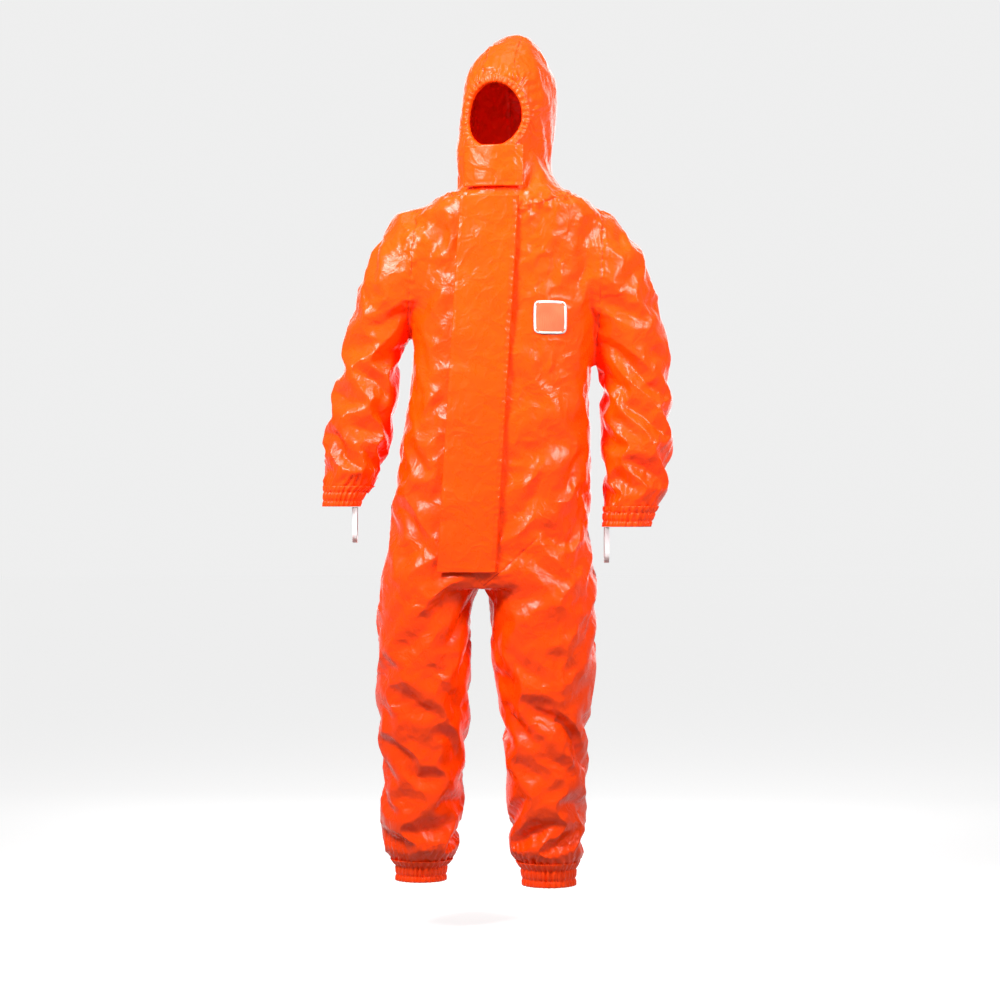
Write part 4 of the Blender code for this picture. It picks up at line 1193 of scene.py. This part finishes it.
# ================================================================ small parts
def thumb_loop(side, look):
    """A flat ribbed elastic band that hangs as a U from the cuff."""
    top = LOOP_TOP[side]
    straight = (0.004, -0.25 * LOOP_DROP, -0.5 * LOOP_DROP)
    path = [(-LOOP_HALF_GAP, z) for z in straight]
    bend_z = -(LOOP_DROP - LOOP_HALF_GAP)
    for k in range(25):
        angle = math.pi * k / 24
        path.append((-LOOP_HALF_GAP * math.cos(angle), bend_z - LOOP_HALF_GAP * math.sin(angle)))
    path += [(LOOP_HALF_GAP, z) for z in reversed(straight)]
    verts = []
    for y, z in path:
        for k in range(LOOP_RIBS):
            share = k / (LOOP_RIBS - 1) - 0.5
            out = LOOP_RIB_HEIGHT * (-1) ** k
            rib = Vector((y, z - bend_z)).normalized() * out
            verts.append((top[0] + share * LOOP_BAND, top[1] + y + rib.x, top[2] + z + rib.y))
    name = "thumb_loop_band_" + SIDE_NAME[side]
    mesh = thickened(name, verts, grid_faces(len(path), LOOP_RIBS), LOOP_THICKNESS, soft=True)
    loop = linked(name, smooth_shaded(mesh, look))
    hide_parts("thumb_loop_" + SIDE_NAME[side])
    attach(loop, "thumb_loop_" + SIDE_NAME[side])
    return loop


def chest_patch(film, looks):
    """A plain woven patch with a raised rim, sewn onto the film and following its folds."""
    place, _, _, rest, areas = film
    near = areas["torso"] & (rest[:, 1] < 0.0) & (np.abs(rest[:, 0] - PATCH_CENTRE[0]) < 2.0 * PATCH_HALF)
    near &= np.abs(rest[:, 2] - PATCH_CENTRE[1]) < 2.0 * PATCH_HALF
    front = place[near]
    steps = 28
    verts = []
    for i in range(steps + 1):
        for k in range(steps + 1):
            u, v = 2.0 * k / steps - 1.0, 2.0 * i / steps - 1.0
            stretch = max(abs(u), abs(v)) / max((u ** 6 + v ** 6) ** (1.0 / 6.0), 1e-6)
            x = PATCH_CENTRE[0] + PATCH_HALF * u * stretch
            z = PATCH_CENTRE[1] + PATCH_HALF * v * stretch
            weight = np.exp(-((front[:, 0] - x) ** 2 + (front[:, 2] - z) ** 2) / PATCH_BRIDGE ** 2)
            rim = max(abs(u), abs(v)) > PATCH_RIM
            film_y = float((weight * front[:, 1]).sum() / weight.sum())
            verts.append((x, film_y - (PATCH_RIM_PROUD if rim else PATCH_PROUD), z))
    mesh = thickened("sewn_patch", verts, grid_faces(steps + 1, steps + 1), PATCH_THICKNESS, offset=-1.0)
    smooth_shaded(mesh, looks["patch_rim"], looks["patch"])
    for face in mesh.polygons:
        away = max(abs(face.center.x - PATCH_CENTRE[0]), abs(face.center.z - PATCH_CENTRE[1]))
        face.material_index = int(away < PATCH_RIM * PATCH_HALF)
    patch = linked("sewn_patch", mesh)
    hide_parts("chest_patch")
    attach(patch, "root")


def zip_chain(look):
    """Separate teeth of the closed coil zip, alternating from both tapes."""
    verts, faces = [], []
    low, high = ZIP_BOTTOM + ZIP_STOP, ZIP_TOP - ZIP_STOP
    for k in range(int((high - low) / TOOTH_PITCH)):
        z = low + (k + 0.5) * TOOTH_PITCH
        side = 1.0 if k % 2 else -1.0
        x = ZIP_X + LEAN * z + side * TOOTH_SHIFT
        half_x, half_z = TEETH_HALF_WIDTH - TOOTH_SHIFT, 0.42 * TOOTH_PITCH
        start = len(verts)
        front = ZIP_Y - TOOTH_PROUD
        for y, shrink in ((front + TOOTH_DEPTH, 1.0), (front + 0.0004, 1.0), (front, 0.65)):
            for sx, sz in ((-1, -1), (1, -1), (1, 1), (-1, 1)):
                verts.append((x + sx * half_x * shrink, y, z + sz * half_z * shrink))
        for a, b, c, d in grid_faces(3, 4, closed=True):
            faces.append((start + a, start + b, start + c, start + d))
        faces += [(start, start + 3, start + 2, start + 1), (start + 8, start + 9, start + 10, start + 11)]
    mesh = outward(mesh_of("zip_chain", verts, faces))
    mesh.materials.append(look)
    chain = linked("zip_chain", mesh)
    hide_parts("zip_teeth")
    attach(chain, "root")
    return chain


# ================================================================ putting it together
def build_limb(film, seam, looks, side, mask, split, sections, make_ring, hem):
    """An arm or leg: its film above and below the split, and its gathered hem.

    Each section is the piece's title, the soft node and the firm node that it stands for, its lower body
    and where it bends, which is not used.
    """
    name = SIDE_NAME[side]
    z = film.rest[:, 2]
    upper = "root"
    for (title, soft, firm, body, bend), part in zip(sections, (mask & (z >= split), mask & (z < split))):
        piece = film_piece(title + name, film, part, looks["film"], seam)
        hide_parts(soft + name, firm + name)
        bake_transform(piece)
        upper = body + name
    ring = make_ring(side, film, looks["hem"])
    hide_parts(hem + "_hem_" + name, hem + "_elastic_" + name)
    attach(ring, upper)


def build_film(looks):
    """The film, cut into pieces that take the place of the CAD model's cloth nodes; only the torso's piece is
    attached to a body, the root.
    """
    film = film_surface()
    rest, areas = film.rest, film.areas
    seam = seam_distance(rest, areas)
    torso = film_piece("film_torso", film, areas["torso"], looks["film"], seam)
    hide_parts("front_panel_right", "front_panel_left", "back_panel_right", "back_panel_left",
                "waist_elastic", "crotch_gusset")
    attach(torso, "root")
    hood = film_piece("film_hood", film, areas["hood"], looks["film"], seam)
    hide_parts("neck_section", "hood_centre", "hood_side_right", "hood_side_left")
    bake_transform(hood)
    chest_patch(film, looks)
    ring = face_ring(film, looks["hem"])
    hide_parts("face_hem", "face_elastic")
    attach(ring, "hood")
    for side in SIDE_NAME:
        build_limb(film, seam, looks, side, areas["arm_" + side], SLEEVE_SPLIT,
                   [("film_sleeve_", "shoulder_section_", "upper_sleeve_", "upper_arm_", SHOULDER_BEND[side]),
                    ("film_forearm_", "elbow_section_", "forearm_sleeve_", "forearm_", ELBOW_BEND)],
                   cuff_ring, "cuff")
        thumb_loop(side, looks["white"])
        build_limb(film, seam, looks, side, areas["leg_" + side], LEG_SPLIT,
                   [("film_thigh_", "hip_section_", "thigh_", "thigh_", HIP_BEND[side]),
                    ("film_shin_", "knee_section_", "shin_", "shin_", KNEE_BEND)],
                   ankle_ring, "ankle")


def paint_nodes(looks):
    """Materials of the CAD nodes that stay."""
    kept = {"zip_tape_left": "tape", "zip_tape_right": "tape", "zip_top_stop": "plastic",
            "zip_bottom_stop": "plastic", "zip_slider": "plastic", "zip_pull": "plastic",
            "inner_zip_flap": "plain_film", "storm_flap_adhesive": "liner", "chin_flap_adhesive": "liner"}
    for node, look in kept.items():
        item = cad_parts[node]
        for slot in item.material_slots:
            slot.material = looks[look]


def glowing_look(name, strength):
    """A material that glows white, with its nodes."""
    look, nodes, wires, shader = shader_tree(name)
    shader.inputs["Emission Color"].default_value = (1.0, 1.0, 1.0, 1.0)
    shader.inputs["Emission Strength"].default_value = strength
    return look, nodes, wires, shader


def build_floor():
    """A pale floor."""
    corners = [(-FLOOR_HALF, -FLOOR_HALF, 0), (FLOOR_HALF, -FLOOR_HALF, 0),
               (FLOOR_HALF, FLOOR_HALF, 0), (-FLOOR_HALF, FLOOR_HALF, 0)]
    floor = linked("floor", mesh_of("floor", corners, [(0, 1, 2, 3)]))
    floor.location = (0.0, 0.0, FLOOR_Z)
    look, nodes, wires, shader = glowing_look("pale_floor", FLOOR_GLOW)
    grain = add(nodes, "ShaderNodeTexNoise", Scale=3.0, Detail=3.0)
    wires.new(mixed(nodes, wires, grain.outputs[0], (0.42, 0.42, 0.42), (0.46, 0.46, 0.46)),
              shader.inputs["Base Color"])
    shader.inputs["Roughness"].default_value = 0.9
    floor.data.materials.append(look)
    floor.visible_diffuse = False


def build_backdrop():
    """A pale dome that only the camera sees."""
    work = bmesh.new()
    bmesh.ops.create_icosphere(work, subdivisions=4, radius=BACKDROP_RADIUS)
    bmesh.ops.reverse_faces(work, faces=work.faces)
    dome_mesh = bpy.data.meshes.new("backdrop")
    work.to_mesh(dome_mesh)
    work.free()
    look, _, _, shader = glowing_look("pale_backdrop", BACKDROP_GLOW)
    shader.inputs["Base Color"].default_value = (0.0, 0.0, 0.0, 1.0)
    shader.inputs["Specular IOR Level"].default_value = 0.0
    dome_mesh.materials.append(look)
    dome = linked("backdrop", dome_mesh)
    dome.visible_diffuse = dome.visible_glossy = dome.visible_transmission = dome.visible_shadow = False


def build_lights():
    """An even pale world and the softboxes."""
    world = bpy.data.worlds.new("studio")
    world.use_nodes = True
    background = world.node_tree.nodes["Background"]
    background.inputs["Color"].default_value = (1.0, 1.0, 1.0, 1.0)
    background.inputs["Strength"].default_value = WORLD_LIGHT
    bpy.context.scene.world = world
    for name, place, width, height, power in SOFTBOXES:
        lamp = bpy.data.lights.new(name, "AREA")
        lamp.shape = "RECTANGLE"
        lamp.size, lamp.size_y = width, height
        lamp.energy = power
        lamp.spread = LIGHT_SPREAD
        item = linked(name, lamp)
        item.location = place
        item.rotation_euler = (Vector(LIGHT_AIM) - Vector(place)).to_track_quat("-Z", "Y").to_euler()


def build_camera():
    """The camera, level and square to the front."""
    scene = bpy.context.scene
    scene.view_settings.view_transform = "Standard"
    lens = bpy.data.cameras.new("camera")
    lens.sensor_width = SENSOR_WIDTH
    lens.lens = SENSOR_WIDTH * (VIEW_PLANE_Y - CAMERA_Y) / VIEW_WIDTH
    camera = linked("camera", lens)
    camera.location = (VIEW_CENTRE[0], CAMERA_Y, VIEW_CENTRE[1])
    camera.rotation_euler = (math.radians(90.0), 0.0, 0.0)
    scene.camera = camera


def main():
    """Builds the looks."""
    looks = {
        "film": film_material(),
        "hem": plain_film("gathered_film", 45.0),
        "plain_film": plain_film("inner_film", 25.0),
        # the second colour of tape, white, patch and patch_rim is painted shade between the threads; of
        # plastic and liner it is the less worn colour
        "tape": woven_material("zip_tape", (0.92, 0.07, 0.002), (0.55, 0.03, 0.001), 260.0, 0.75),
        "plastic": plastic_material("zip_plastic", (0.94, 0.08, 0.002), (0.78, 0.05, 0.001), 0.38),
        "liner": plastic_material("release_liner", (0.60, 0.59, 0.56), (0.52, 0.51, 0.48), 0.45),
        "white": woven_material("knitted_elastic", (0.84, 0.84, 0.84), (0.62, 0.62, 0.63), 420.0, 0.95,
                                ribs=(1.6, 0.7, 0.7)),
        "patch": woven_material("woven_patch", (0.62, 0.10, 0.020), (0.44, 0.06, 0.010), 330.0, 0.7),
        "patch_rim": woven_material("patch_rim", (0.60, 0.60, 0.58), (0.42, 0.42, 0.41), 420.0, 0.75),
    }
    build_film(looks)
    storm_flap(looks["film"])
    chin_flap(looks["film"])
    zip_chain(looks["plastic"])
    paint_nodes(looks)
    build_floor()
    build_backdrop()
    build_lights()
    build_camera()


main()
